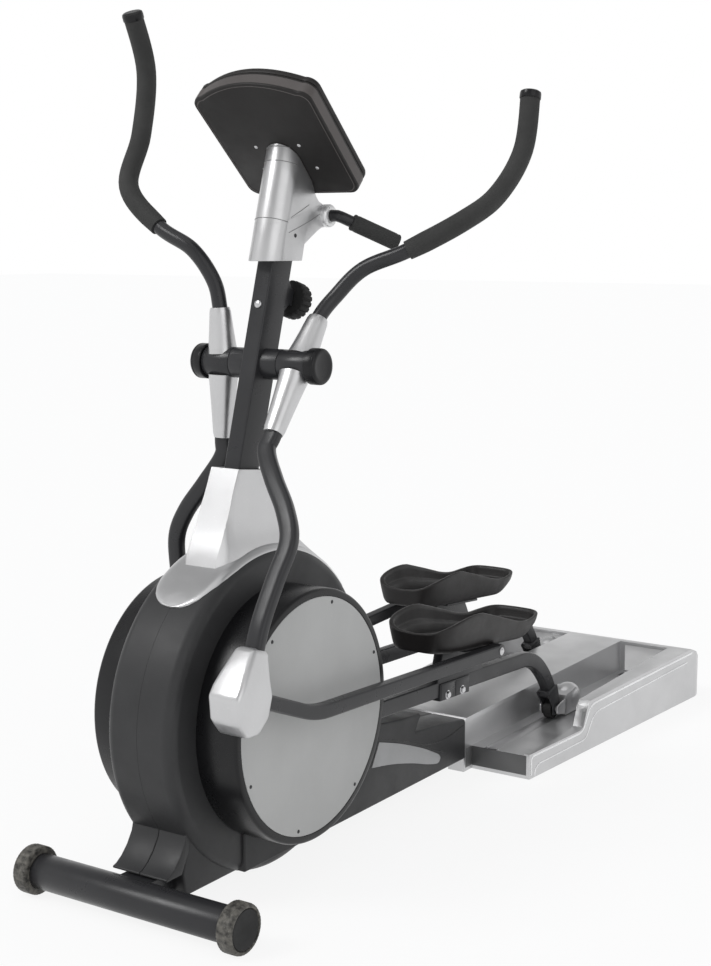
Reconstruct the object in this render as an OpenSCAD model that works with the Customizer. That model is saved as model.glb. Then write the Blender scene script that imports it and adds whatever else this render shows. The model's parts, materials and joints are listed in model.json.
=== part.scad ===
/* [Overall] */
// Length of the platform behind the rear roller's axle at the end of its run
tail_length = 241; // [225:1:270]
// Height of the crank axis above the floor
crank_height = 357; // [350:1:370]
// Distance from the front stabilizer axis to the crank axis
crank_setback = 361; // [352:1:370]
// Height of the swing arm pivot above the floor
pivot_height = 1067; // [1050:1:1090]
// Distance from the front stabilizer axis to the swing arm pivot
pivot_setback = 428; // [415:1:440]

/* [Front stabilizer] */
// Length over the end caps
stabilizer_length = 560; // [480:10:640]
// Diameter of the stabilizer tube
stabilizer_d = 72; // [60:1:80]
// Diameter of the rubber end caps that stand on the floor
foot_cap_d = 100; // [92:1:110]
// Length of the cap outside the tube
foot_cap_length = 36; // [24:1:50]

/* [Linkage] */
// Crank pin radius
crank_r = 215; // [205:1:216]
// Crank angle at rest, measured from the rear
crank_angle = 177; // [170:1:184]
// Link length from the crank pin to the roller axle
link_length = 1392; // [1380:1:1400]
// Position of the pedal knuckle along the link
knuckle_along = 867; // [856:1:876]
// Height of the pedal knuckle above the link axis
knuckle_rise = 170; // [166:1:176]
// Length of the pedal tube between its two pivots
tube_length = 972; // [962:1:980]
// Length of the swing arm from its pivot to the lower joint
arm_length = 694; // [680:1:705]
// Forward angle of the lower joint when the arm stands in the middle of its stroke
arm_rake = 13.5; // [12:0.5:15]

/* [Layers across the machine] */
// Centre plane of each link
link_x = 139; // [138:1:140]
// Centre plane of each swing arm's lower end and pedal tube
arm_x = 237; // [230:1:245]
// Outer face of the round side discs
disc_x = 184; // [178:1:190]
// Half width of the centre housing
housing_half = 85; // [83:1:86]

/* [Tubes] */
// Width of the swing arm tube across the machine
arm_w = 38; // [30:1:40]
// Depth of the swing arm tube along the machine
arm_t = 26; // [20:1:30]
// Height of the pedal tube
tube_h = 30; // [26:1:34]
// Thickness of the pedal tube
tube_t = 26; // [20:1:30]
// Height of the link tube
link_h = 38; // [30:1:42]
// Thickness of the link tube
link_t = 26; // [22:1:27]
// Diameter of the handle tube
handle_d = 32; // [28:1:34]
// Diameter of the foam grip
grip_d = 44; // [40:1:48]

/* [Pivot bar] */
// Length over the pivot bar caps
pivot_bar_length = 320; // [310:1:340]
// Diameter of the pivot bar and the swing arm hubs
pivot_bar_d = 64; // [60:1:70]
// Diameter of the shaft that the hubs turn on
pivot_shaft_d = 38; // [34:1:40]
// Diameter of the pivot bar end caps
pivot_cap_d = 75; // [72:1:80]

/* [Housing] */
// Radius of the centre housing
housing_r = 340; // [336:1:350]
// Radius of the side drums
drum_r = 264; // [257:1:266]
// Radius of the silver discs
disc_r = 247; // [242:1:250]
// Wall of the plastic covers
wall = 4; // [3:0.5:5]

/* [Mast] */
// Width of the mast tube
mast_w = 40; // [36:1:44]
// Depth of the mast tube
mast_d = 68; // [60:1:70]
// Rearward lean of the mast
mast_lean = 16.1; // [15.5:0.1:16.7]

/* [Platform] */
// Distance from the front stabilizer axis to the front of the platform
platform_setback = 1181; // [1172:1:1195]
// Half width of the platform at its front
platform_half_front = 250; // [246:1:260]
// Half width of the platform at its rear
platform_half_rear = 301; // [290:1:310]
// Height of the track floor
track_z = 62; // [58:1:66]
// Height of the side walls at the rear
platform_height = 150; // [140:1:160]
// Half width of the centre ridge
ridge_half = 86; // [82:1:90]
// Roller diameter
roller_d = 52; // [46:1:56]

/* [Pedals] */
// Pedal length
pedal_length = 490; // [470:5:500]
// Pedal width
pedal_w = 178; // [166:1:182]
// Centre plane of each pedal
pedal_x = 151; // [148:1:153]
// Wall of the pedal tray
pedal_wall = 6; // [5:0.5:8]

/* [Console] */
// Width of the console
console_w = 294; // [250:2:300]
// Height of the console board at its sides
console_h = 278; // [260:2:300]
// Thickness of the console
console_t = 50; // [44:1:60]
// Travel of the console buttons
button_travel = 1.5; // [1:0.1:2]

/* [Hidden] */
$fn = 64;

// clearances
slip = 0.5;       // between faces that pass each other
rest = 0.3;       // between a piece and the one that carries it
turn = 0.05;      // radial running fit

// places along the machine, with the origin under the middle of the bounding box
axle_z = track_z + roller_d / 2 + rest;
pin_back = [crank_setback + crank_r * cos(crank_angle + 180), crank_height + crank_r * sin(crank_angle + 180)];
rear_setback = pin_back[0] + sqrt(pow(link_length, 2) - pow(pin_back[1] - axle_z, 2)) + tail_length;
overall_length = rear_setback + foot_cap_d / 2;
front_y = foot_cap_d / 2 - overall_length / 2;
rear_y = overall_length / 2;
crank_c = [front_y + crank_setback, crank_height];
pivot_c = [front_y + pivot_setback, pivot_height];
platform_y = front_y + platform_setback;
foot_z = foot_cap_d / 2;

// linkage, worked out from the crank angle in the side view [y, z]
function turned(v, a) = [v[0] * cos(a) - v[1] * sin(a), v[0] * sin(a) + v[1] * cos(a)];
function heading(v) = atan2(v[1], v[0]);
function pin_at(a) = crank_c + turned([crank_r, 0], a);
function axle_at(a) = let (p = pin_at(a)) [p[0] + sqrt(pow(link_length, 2) - pow(p[1] - axle_z, 2)), axle_z];
function link_tilt(a) = heading(axle_at(a) - pin_at(a));
function knuckle_at(a) = pin_at(a) + turned([knuckle_along, knuckle_rise], link_tilt(a));
function joint_at(a) = let (d = knuckle_at(a) - pivot_c, reach = norm(d),
        bend = acos((pow(arm_length, 2) + pow(reach, 2) - pow(tube_length, 2)) / (2 * arm_length * reach)))
    pivot_c + turned([arm_length, 0], heading(d) - bend);
function arm_swing(a) = heading(joint_at(a) - pivot_c) + 90 + arm_rake;
function tube_tilt(a) = heading(knuckle_at(a) - joint_at(a));
left_angle = crank_angle;
right_angle = crank_angle + 180;

// hub, arm and handle, around the pivot with the arm in the middle of its stroke
hub_start = pivot_bar_d / 2 + 30;
cap_length = 27;
hub_end = pivot_bar_length / 2 - cap_length - slip;
hub_x = (hub_start + hub_end) / 2;
cover_top = [hub_x + 5, 33, 109];
cover_foot = [hub_x + 4, -48, -153];
joint_p = [arm_x, -arm_length * sin(arm_rake), -arm_length * cos(arm_rake)];
handle_path = [[hub_x, 10, 30], cover_top, [121, 53, 163], [170, 65, 226], [260, 80, 271],
    [355, 120, 347], [370, 214, 436], [374, 281, 558], [372, 276, 683]];
arm_path = [[hub_x, -10, -30], cover_foot, [hub_x + 6, -62, -192], [150, -84, -250], [205, -103, -312],
    [arm_x, -118, -372], [arm_x, -140, -450], [arm_x, -162, -540], joint_p + [0, -4, 46]];
boot_w = 76;

// pedal tube, in its own frame with Y from the joint to the knuckle
tube_bend = [225, -59];
tube_rise = atan2(-tube_bend[1], tube_length - tube_bend[0]);
// link, in its own frame with Y from the crank pin to the roller axle
link_slope = atan2(124.4, 805.4);
link_bend = link_length - 1050;
link_path = concat([[0, 0]], [for (p = [[1050, 0], [244.6, 124.4], [179.8, 132], [119.3, 119.4], [62.8, 85.6],
    [23.4, 47.2]]) [link_length - p[0], p[1]]]);
pedal_rise = 10;
link_drop = knuckle_rise - (knuckle_along - link_bend) * tan(link_slope) - 4;

// drive train inside the centre housing
pulley_r = 160;
flywheel_c = crank_c + [-168, -118];
flywheel_r = 112;
small_pulley_r = 24;
belt_t = 4;
belt_gap = 0.3;
frame_half = 62;
plate_t = 6;
bearing_r = 26;
shaft_r = 12.5;
shaft_end = link_x - link_t / 2 - slip;
arm_plate_t = 24;
arm_plate_x = shaft_end - 5 - arm_plate_t;
beam_z = 45;
beam_h = 40;

// mast
mast_foot = [front_y + 363, 861];
mast_top = 680;
mast_root = 300;
cradle_z = crank_height + 190;
cradle_floor = cradle_z + 8;

// console
console_c = [front_y + 492, 1513];
console_tilt = 46.8;
bulge = 30;
face_t = 16;
bar_c = [front_y + 628, 1372];
bar_r = 12.5;

// colours
silver = [0.74, 0.74, 0.75];
light = [0.85, 0.85, 0.86];
dark = [0.16, 0.16, 0.17];
black = [0.08, 0.08, 0.09];
steel = [0.6, 0.61, 0.63];

// ---------- shared shapes ----------

// a round bar across the machine at the side-view point c
module across(r, x0, x1, c = [0, 0]) {
    translate([x0, c[0], c[1]]) rotate([0, 90, 0]) cylinder(r = r, h = x1 - x0);
}

// a round bar between two points
module rod(p, q, r, r_end = 0) {
    d = q - p;
    translate(p) rotate([0, acos(d[2] / norm(d)), atan2(d[1], d[0])])
        cylinder(r1 = r, r2 = r_end > 0 ? r_end : r, h = norm(d));
}

// a side-view outline drawn through the width x0 to x1
module slab(x0, x1) {
    translate([x0, 0, 0]) rotate([90, 0, 90]) linear_extrude(x1 - x0) children();
}

module both() {
    children();
    mirror([1, 0, 0]) children();
}

function unit(v) = v / norm(v);
// points on a smooth curve through p, n steps to a span
function curve(p, n) = let (m = len(p) - 1)
    [for (i = [0:m - 1], k = [0:n - 1]) blend(p, i, k / n, m), p[m]];
function blend(p, i, t, m) = let (a = p[max(i - 1, 0)], b = p[i], c = p[i + 1], d = p[min(i + 2, m)])
    0.5 * (2 * b + (c - a) * t + (2 * a - 5 * b + 4 * c - d) * t * t
    + (3 * b - a - 3 * c + d) * t * t * t);
function heading3(p, i) = unit(p[min(i + 1, len(p) - 1)] - p[max(i - 1, 0)]);
function squared(v, e) = sign(v) * pow(abs(v), e);
function ring(c, t, w, h, e, n) = let (u = unit([1, 0, 0] - t * t[0]), v = cross(t, u))
    [for (k = [0:n - 1]) let (q = 360 * (k + 0.5) / n)
        c + u * (w / 2) * squared(cos(q), e) + v * (h / 2) * squared(sin(q), e)];

// a tube of width w and height h swept along a path; e = 1 is oval, smaller is squarer
module sweep(path, w, h, e = 1, n = 16) {
    last = len(path) - 1;
    points = [for (i = [0:last], q = ring(path[i], heading3(path, i), w, h, e, n)) q];
    sides = [for (i = [0:last - 1], k = [0:n - 1], m = [0, 1]) let (j = (k + 1) % n, a = i * n, b = a + n)
        m == 0 ? [a + j, a + k, b + k] : [a + j, b + k, b + j]];
    polyhedron(points, concat(sides, [[for (k = [0:n - 1]) k]], [[for (k = [n - 1:-1:0]) last * n + k]]),
        convexity = 6);
}

// frames that ride on the moving pieces
module on_arm(a) {
    translate([0, pivot_c[0], pivot_c[1]]) rotate([arm_swing(a), 0, 0]) children();
}

module on_tube(a) {
    p = joint_at(a);
    translate([0, p[0], p[1]]) rotate([tube_tilt(a), 0, 0]) children();
}

module on_link(a) {
    p = pin_at(a);
    translate([0, p[0], p[1]]) rotate([link_tilt(a), 0, 0]) children();
}

module on_axle(a) {
    p = axle_at(a);
    translate([0, p[0], p[1]]) children();
}

module on_mast() {
    translate([0, mast_foot[0], mast_foot[1]]) rotate([-mast_lean, 0, 0]) children();
}

module on_console() {
    translate([0, console_c[0], console_c[1]]) rotate([console_tilt, 0, 0]) children();
}

module right_side() {
    mirror([1, 0, 0]) children();
}

// ---------- base ----------

module front_stabilizer() {
    half = stabilizer_length / 2 - foot_cap_length;
    color(dark) difference() {
        across(stabilizer_d / 2, -half, half, [front_y, foot_z]);
        across(stabilizer_d / 2 - 3, -half - 1, half + 1, [front_y, foot_z]);
    }
}

module stabilizer_caps() {
    half = stabilizer_length / 2;
    color(black) both() {
        difference() {
            across(foot_cap_d / 2, half - foot_cap_length, half, [front_y, foot_z]);
            across(foot_cap_d / 2 - 6, half - 3, half + 1, [front_y, foot_z]);
        }
        across(stabilizer_d / 2 - 3, half - foot_cap_length - 30, half - foot_cap_length, [front_y, foot_z]);
        across(foot_cap_d / 2 - 10, half - 4, half - 1, [front_y, foot_z]);
    }
}

frame_foot = beam_z + beam_h - crank_height;
frame_outline = [[-240, frame_foot], [210, frame_foot], [60, 285], [-150, 285], [-240, -40]];
module main_frame() {
    color(dark) {
        // base beam, notched over the stabilizer tube
        difference() {
            translate([-40, front_y, beam_z]) cube([80, rear_y - 80 - front_y, beam_h]);
            translate([-36, front_y + 60, beam_z + 4]) cube([72, rear_y - front_y, beam_h - 8]);
            across(stabilizer_d / 2, -50, 50, [front_y, foot_z]);
        }
        // side plates that carry the crank and the flywheel
        both() difference() {
            slab(frame_half - plate_t, frame_half)
                translate(crank_c) polygon(frame_outline);
            across(bearing_r, 0, housing_half, crank_c);
            across(8, 0, housing_half, flywheel_c);
            across(60, 0, housing_half, crank_c + [40, -150]);
            across(45, 0, housing_half, crank_c + [10, 140]);
        }
        // idler stub on the right plate
        across(6, -frame_half + plate_t, 9, idler_c);
        // feet of the side plates
        both() translate([40 - plate_t, crank_c[0] - 240, beam_z + beam_h])
            cube([frame_half - 40 + plate_t, 450, plate_t]);
        // mast cradle above the pulley
        difference() {
            translate([-frame_half, crank_c[0] - 145, cradle_z]) cube([2 * frame_half, 150, 92]);
            intersection() {
                on_mast() mast_blank(0);
                translate([-mast_w, crank_c[0] - 300, cradle_floor]) cube([2 * mast_w, 600, 400]);
            }
            both() translate([mast_w / 2 + 8, crank_c[0] - 160, cradle_floor])
                cube([frame_half - 16 - mast_w / 2, 200, 76]);
        }
        // cross members that carry the feet and the tracks
        for (y = [platform_y + 40, rear_y - 110])
            difference() {
                translate([-225, y, 22]) cube([450, 40, 23]);
                for (x = [-205, 205]) translate([x, y + 20, 0]) cylinder(r = 5 + turn, h = 60);
            }
    }
}

module levelling_feet() {
    color(black) for (x = [-205, 205], y = [platform_y + 60, rear_y - 90]) {
        translate([x, y, 0]) cylinder(r = 22, h = 10);
        translate([x, y, 10]) cylinder(r = 5, h = 34);
        translate([x, y, 10]) cylinder(r = 9, h = 6, $fn = 6);
    }
}

// ---------- mast and pivot ----------

module mast_blank(inset) {
    translate([-mast_w / 2 + inset, -mast_d / 2 + inset, -mast_root - 40])
        cube([mast_w - 2 * inset, mast_d - 2 * inset, mast_root + 40 + mast_top]);
}

module mast_post() {
    color(dark) difference() {
        on_mast() mast_blank(0);
        on_mast() translate([0, 0, -10]) mast_blank(3);
        across(pivot_bar_d / 2, -mast_w, mast_w, pivot_c);
        // the bottom stands level on the cradle floor
        translate([-mast_w, crank_c[0] - 300, 0]) cube([2 * mast_w, 600, cradle_floor]);
        on_console() translate([-mast_w, -rest, -300]) cube([2 * mast_w, 300, 600]);
    }
    // gusset behind the mast that carries the tension knob
    color(dark) on_mast() difference() {
        translate([0, 0, knob_z]) rotate([90, 0, 90]) translate([0, 0, -14]) linear_extrude(28)
            polygon([[mast_d / 2 - 1, -42], [knob_y - 12, -18], [knob_y - 3, -18], [knob_y - 3, 18],
                [knob_y - 12, 18], [mast_d / 2 - 1, 42]]);
        translate([0, knob_y, knob_z]) rotate([90, 0, 0]) cylinder(r = 6 + turn, h = 30);
    }
    color(light) on_mast() translate([0, -mast_d / 2, 333]) rotate([90, 0, 0]) cylinder(r = 9, h = 5);
}

module pivot_bar() {
    color(dark) {
        across(pivot_bar_d / 2, -hub_start + slip, hub_start - slip, pivot_c);
        across(pivot_shaft_d / 2, -hub_end - slip - 12, hub_end + slip + 12, pivot_c);
    }
}

module pivot_bar_caps() {
    color(black) both() difference() {
        across(pivot_cap_d / 2, hub_end + slip, pivot_bar_length / 2, pivot_c);
        across(pivot_shaft_d / 2, hub_end, hub_end + slip + 12, pivot_c);
    }
}

bush_t = 4;
module hub_bushes() {
    color(steel) both() for (x = [hub_start, hub_end - 18]) difference() {
        across(pivot_shaft_d / 2 + bush_t, x, x + 18, pivot_c);
        across(pivot_shaft_d / 2, x - 1, x + 19, pivot_c);
    }
}

// ---------- swing arms ----------

module swing_arm() {
    bore = pivot_shaft_d / 2 + bush_t + turn;
    difference() {
        union() {
            across(pivot_bar_d / 2, hub_start, hub_end);
            sweep(curve(handle_path, 3), handle_d, handle_d);
            sweep(curve(arm_path, 3), arm_w, arm_t, 0.6);
        }
        across(bore, hub_start - 1, hub_end + 1);
        // cheek cut square above the lower joint
        translate([arm_x - 40, joint_p[1] - 60, joint_p[2] - 40]) cube([80, 120, 40 + 34]);
    }
    // inner cheek that carries the joint pin
    difference() {
        slab(arm_x - tube_t / 2 - slip - 8, arm_x - tube_t / 2 - slip)
            polygon([[joint_p[1] - 22, joint_p[2] - 14], [joint_p[1] + 22, joint_p[2] - 14],
                [joint_p[1] + 18, joint_p[2] + 60], [joint_p[1] - 18, joint_p[2] + 60]]);
        across(10, arm_x - 60, arm_x, [joint_p[1], joint_p[2]]);
    }
}

// tapered plastic covers above and below the hub
module arm_covers() {
    hub = [hub_x, 0, 0];
    for (tip = [cover_top, cover_foot])
        difference() {
            rod(hub, tip, pivot_bar_d / 2 - 1, arm_w / 2 + 3);
            rod(hub, tip + 0.02 * (tip - hub), pivot_bar_d / 2 - 4, arm_w / 2 + rest);
            across(pivot_bar_d / 2 + rest, hub_x - 60, hub_x + 60);
        }
}

module grip() {
    whole = curve(handle_path, 3);
    last = len(whole) - 1;
    tail = unit(whole[last] - whole[last - 1]);
    difference() {
        sweep([for (i = [12:last]) whole[i]], grip_d, grip_d);
        sweep(concat([for (i = [11:last]) whole[i]], [whole[last] + 3 * tail]), handle_d + 2 * rest,
            handle_d + 2 * rest);
    }
    rod(whole[last] + rest * tail, whole[last] + 6 * tail, grip_d / 2 + 1);
}

module joint_boot() {
    difference() {
        translate([arm_x, joint_p[1], joint_p[2]]) boot_block(0);
        translate([arm_x, joint_p[1], joint_p[2]]) boot_block(wall);
        // mouth for the pedal tube
        translate([arm_x - tube_t / 2 - 6, joint_p[1], joint_p[2] - 60])
            cube([tube_t + 12, 120, 110]);
        // collar for the arm
        translate([arm_x - arm_w / 2 - rest, joint_p[1] - 40, joint_p[2]])
            cube([arm_w + 2 * rest, 80, 140]);
    }
}

// the boot narrows towards the arm tube
module boot_block(inset) {
    w = boot_w / 2 - inset;
    top = arm_w / 2 + rest + wall - inset;
    intersection() {
        slab(-w, w) offset_outline(inset);
        rotate([90, 0, 0]) translate([0, 0, -120]) linear_extrude(240)
            polygon([[-w - 1, -100], [w + 1, -100], [w + 1, 8], [top, 93], [-top, 93], [-w - 1, 8]]);
    }
}

boot_outline = [[-34, 92], [14, 92], [24, 40], [34, 10], [34, -32], [12, -66], [-20, -76], [-56, -52], [-76, -8],
    [-58, 40]];
module offset_outline(inset) {
    k = 1 - inset / 48;
    polygon([for (p = boot_outline) [p[0] * k, p[1] * k]]);
}

module joint_pin() {
    across(10, arm_x - tube_t / 2 - slip - 10, arm_x + tube_t / 2 + 8, [0, 0]);
    across(15, arm_x + tube_t / 2 + slip, arm_x + tube_t / 2 + 8, [0, 0]);
}

// ---------- pedal tubes, links, rollers ----------

module pedal_tube() {
    difference() {
        union() {
            across(tube_h / 2 + 2, arm_x - tube_t / 2, arm_x + tube_t / 2);
            slab(arm_x - tube_t / 2, arm_x + tube_t / 2) ribbon([[0, 0], tube_bend, [tube_length, 0]], tube_h);
            across(tube_h / 2 + 2, arm_x - tube_t / 2, arm_x + tube_t / 2, [tube_length, 0]);
            across(9, arm_x, arm_x + tube_t / 2 + 5, [tube_length, 0]);
        }
        across(10 + turn, arm_x - 40, arm_x + 40);
    }
}

// a strip of height h along side-view points, mitred at the bends
module ribbon(p, h) {
    m = len(p) - 1;
    function side(i, k) = let (a = heading(p[max(i, 1)] - p[max(i, 1) - 1]),
            b = heading(p[min(i, m - 1) + 1] - p[min(i, m - 1)]), t = (a + b) / 2 + 90)
        p[i] + k * h / 2 / cos((b - a) / 2) * [cos(t), sin(t)];
    polygon(concat([for (i = [0:m]) side(i, 1)], [for (i = [m:-1:0]) side(i, -1)]));
}

module at_knuckle() {
    translate([0, knuckle_along, knuckle_rise]) rotate([link_slope - 3, 0, 0]) children();
}

module link() {
    e = [knuckle_along, knuckle_rise];
    axle = [link_length, 0];
    difference() {
        union() {
            across(30, link_x - link_t / 2 + 0.6, link_x + link_t / 2 - 0.6);
            slab(link_x - link_t / 2, link_x + link_t / 2) ribbon(link_path, link_h);
            // riser that carries the knuckle pin and the pedal
            at_knuckle() slab(link_x - link_t / 2 + 1, link_x + link_t / 2 - 1)
                polygon([[-120, -link_drop], [110, -link_drop], [40, pedal_rise - 4], [-90, pedal_rise - 4]]);
            at_knuckle() translate([pedal_x - pedal_w / 2 + 20, -110, pedal_rise - 6 - rest])
                cube([pedal_w - 40, 160, 6]);
            across(8, link_x, arm_x - tube_t / 2 - slip, e);
            // fork cheeks beside the roller
            for (x = [link_x - link_t / 2 - 5, link_x + link_t / 2 + rest])
                slab(x, x + 5 - rest) translate(axle) polygon([[-60, 40], [-12, 66], [20, 8], [14, -16],
                    [-14, -16], [-22, 6]]);
            slab(link_x - link_t / 2 - 4, link_x + link_t / 2 + 4) translate(axle)
                polygon([[-58, 44], [-16, 66], [-24, 36], [-46, 30]]);
        }
        across(8 + turn, link_x - 40, link_x + 40, axle);
        // the tube stops short of the roller
        across(roller_d / 2 + 4, link_x - link_t / 2, link_x + link_t / 2, axle);
    }
    // clamp bracket with its two bolts
    translate([0, link_bend, 0]) rotate([link_slope, 0, 0])
        translate([0, (knuckle_along - link_bend) / cos(link_slope), 0]) {
            translate([link_x - link_t / 2 - 4, -103, -link_h / 2 - 8]) cube([link_t + 8, 136, link_h + 4]);
            for (y = [-71, -3]) across(8, link_x, link_x + link_t / 2 + 10, [y, -15]);
        }
}

function pedal_half(t) = let (s = pow(abs(sin(t)), 0.34) * sign(sin(t)), c = pow(abs(cos(t)), 0.34) * sign(cos(t)))
    [s, c];
module pedal_plan(inset) {
    polygon([for (t = [0:7.5:352.5]) let (p = pedal_half(t))
        [p[0] * (pedal_w / 2 - inset) * (1 - 0.06 * p[1]), p[1] * (pedal_length / 2 - inset)]]);
}

rim = [[-250, 60], [-215, 68], [-180, 77], [-145, 84], [-100, 88], [-50, 83], [0, 71], [50, 60], [100, 51],
    [150, 48], [200, 54], [250, 62]];
// the tray steps out twice above its base
module tray(inset, z) {
    translate([0, 0, z]) {
        linear_extrude(13) pedal_plan(inset + 20);
        translate([0, 0, 12]) linear_extrude(11) pedal_plan(inset + 6);
        translate([0, 0, 22]) linear_extrude(120) pedal_plan(inset);
    }
}

// side outline of the tray, with its heel drawn in towards the base
module pedal_side(g, up) {
    s = pedal_length / 490;
    polygon(concat([for (p = curve(rim, 3)) [p[0] * s, p[1] + up]], [[250 * s - g, 40 + g / 2],
        [222 * s - g, 18 + g / 2], [190 * s - g, g > 0 ? 5 : -1], [-232 * s, g > 0 ? 5 : -1], [-250 * s, 12]]));
}

module pedal() {
    difference() {
        intersection() {
            tray(0, 0);
            slab(-pedal_w, pedal_w) pedal_side(0, 0);
        }
        intersection() {
            tray(pedal_wall, 8);
            slab(-pedal_w, pedal_w) pedal_side(pedal_wall + 1, 60);
        }
    }
    for (i = [-4:4]) translate([i * 12 - 2, -110, 7]) cube([4, 260, 4]);
}

module place_pedal() {
    at_knuckle() translate([pedal_x, 4, pedal_rise]) children();
}

module carriage() {
    // axle, side cheeks and the domed wheel guard behind the roller
    across(8, link_x - link_t / 2 - 14, link_x + link_t / 2 + 14);
    difference() {
        union() {
            translate([link_x, 95, 8]) scale([0.72, 1, 0.84]) sphere(r = 48);
            slab(link_x - 27, link_x + 27) polygon([[34, -24], [125, -24], [125, 4], [95, 40], [34, 30]]);
        }
        translate([link_x - 60, 0, -90]) cube([120, 180, 66]);
        translate([link_x - 18.6, -10, -30]) cube([37.2, 44, 90]);
        translate([link_x - 60, -10, -60]) cube([120, 42, 140]);
    }
    for (x = [link_x - 27, link_x + 22])
        slab(x, x + 5) polygon([[-12, -12], [40, -22], [40, 22], [-12, 12]]);
}

module roller() {
    difference() {
        union() {
            across(roller_d / 2, link_x - 12, link_x + 12);
            across(12, link_x - 12.7, link_x + 12.7);
        }
        across(8 + turn, link_x - 30, link_x + 30);
    }
}

// ---------- crank and drive ----------

module crank_shaft() {
    color(steel) across(shaft_r, -arm_plate_x - 14, arm_plate_x + 14, crank_c);
}

module crank_bearings() {
    color(steel) both() difference() {
        across(bearing_r, frame_half - 16, frame_half + 2, crank_c);
        across(shaft_r + turn, 0, housing_half, crank_c);
    }
}

module crank_arm(a) {
    tip = turned([crank_r, 0], a);
    translate([0, crank_c[0], crank_c[1]]) {
        difference() {
            union() {
                across(34, arm_plate_x, arm_plate_x + arm_plate_t);
                across(27, arm_plate_x, arm_plate_x + arm_plate_t, tip);
                translate([arm_plate_x + 2, 0, 0]) rotate([a, 0, 0]) translate([0, 20, -22])
                    cube([arm_plate_t - 4, crank_r - 30, 44]);
                across(12, arm_plate_x + arm_plate_t - 2, shaft_end, tip);
            }
            across(shaft_r, arm_plate_x - 1, arm_plate_x + 14);
        }
    }
}

module drive_pulley() {
    color(black) difference() {
        across(pulley_r, -9, 9, crank_c);
        across(shaft_r, -10, 10, crank_c);
        for (a = [0:60:300]) across(34, -10, 10, crank_c + turned([95, 0], a));
    }
}

module drive_belt() {
    d = flywheel_c - crank_c;
    inner = pulley_r + belt_gap;
    nip = small_pulley_r + belt_gap;
    color(black) translate([0, crank_c[0], crank_c[1]]) rotate([heading(d), 0, 0]) difference() {
        slab(-7, 7) belt_plan(inner + belt_t, nip + belt_t);
        slab(-8, 8) belt_plan(inner, nip);
    }
}

// outline of a belt round two pulleys, as two arcs joined by straight runs
module belt_plan(r0, r1) {
    polygon(concat(
        [for (i = [0:40]) let (t = belt_open + (360 - 2 * belt_open) * i / 40) r0 * [cos(t), sin(t)]],
        [for (i = [0:12]) let (t = -belt_open + 2 * belt_open * i / 12)
            [belt_span, 0] + r1 * [cos(t), sin(t)]]));
}

module flywheel_axle() {
    color(steel) across(8, -frame_half - 6, frame_half + 6, flywheel_c);
}

module flywheel() {
    color(steel) difference() {
        union() {
            across(flywheel_r, 20, 46, flywheel_c);
            across(small_pulley_r, -9, 20, flywheel_c);
        }
        across(flywheel_r - 22, 38, 47, flywheel_c);
        across(8 + turn, -10, 50, flywheel_c);
    }
}

// the idler runs against the outside of the belt's upper run
idler_r = 25;
belt_span = norm(flywheel_c - crank_c);
belt_open = 90 - asin((pulley_r - small_pulley_r) / belt_span);
idler_reach = (pulley_r + small_pulley_r) / 2 + belt_gap + belt_t + idler_r + rest;
idler_c = crank_c + turned([belt_span / 2, 0] + idler_reach * [cos(belt_open), -sin(belt_open)],
    heading(flywheel_c - crank_c));
module belt_tensioner() {
    color(black) difference() {
        across(idler_r, -9, 9, idler_c);
        across(6 + turn, -10, 10, idler_c);
    }
}

module brake_bracket() {
    r = flywheel_r + 3;
    color(steel) {
        difference() {
            across(r + 12, 18, 48, flywheel_c);
            across(r, 17, 49, flywheel_c);
            slab(16, 50) translate(flywheel_c) polygon([[0, 0], [-12, 300], [-300, 300], [-300, -300],
                [300, -300], [300, 20]]);
        }
        across(6, 20, frame_half - plate_t - rest, brake_pivot);
    }
}

// the magnet bracket swings on a pin beside the flywheel
brake_pivot = flywheel_c + [2, flywheel_r + 9];

// ---------- centre housing ----------

round_r = 25;
fairing_half = housing_half + 7;
toe_half = housing_half - 15;

// half of a wheel-shaped body round the crank axis, from a profile of [radius, x]
module wheel() {
    translate([0, crank_c[0], crank_c[1]]) rotate([0, 90, 0]) rotate_extrude() children();
}

// half section of the housing rim, grown outward by g
module rim_section(g) {
    polygon(concat([[0, 0], [housing_r + g, 0]],
        [for (a = [0:15:90]) [housing_r - round_r + (round_r + g) * cos(a),
            housing_half - round_r + (round_r + g) * sin(a)]], [[0, housing_half + g]]));
}

toe_front = [[85, 215], [84, 172], [78, 149], [63, 125], [46, 107], [30, 96], [20, 93]];
// the left half of the housing as a solid, inset by g
module housing_half_solid(g) {
    wheel() rim_section(-g);
    translate([0, front_y, 0]) {
        slab(0, toe_half - g) polygon(concat([for (p = toe_front) [p[0] + g, p[1]]], [[20 + g, 88 + g],
            [70 + g, 88 + g], [78 + g, 40 + g], [300, 40 + g], [300, 215]]));
        slab(0, fairing_half - g) polygon([[240, 40 + g], [platform_setback - 41 + 2 * g, 40 + g],
            [platform_setback - 41 + 2 * g, 143 - g], [903 - g, 169 - g], [928 - g, 209 - g], [840, 215 - g],
            [690, 240 - g], [600, 300], [240, 240]]);
    }
}

module housing_shell() {
    difference() {
        housing_half_solid(0);
        housing_half_solid(wall);
        translate([-10, -2000, -10]) cube([10 + slip / 2, 4000, 1000]);
        across(stabilizer_d / 2 + rest, -10, housing_half, [front_y, foot_z]);
        across(bearing_r + 10, 10, housing_half + 10, crank_c);
        on_mast() translate([-10, -mast_d / 2 - rest, -230])
            cube([10 + mast_w / 2 + rest, mast_d + 2 * rest, 400]);
        // way through for the base beam
        translate([-10, front_y, 30]) cube([41 + 10, 90, beam_z + beam_h + 1 - 30]);
    }
}

module left_housing_shell() { color(black) housing_shell(); }
module right_housing_shell() { color(black) right_side() housing_shell(); }

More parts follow.
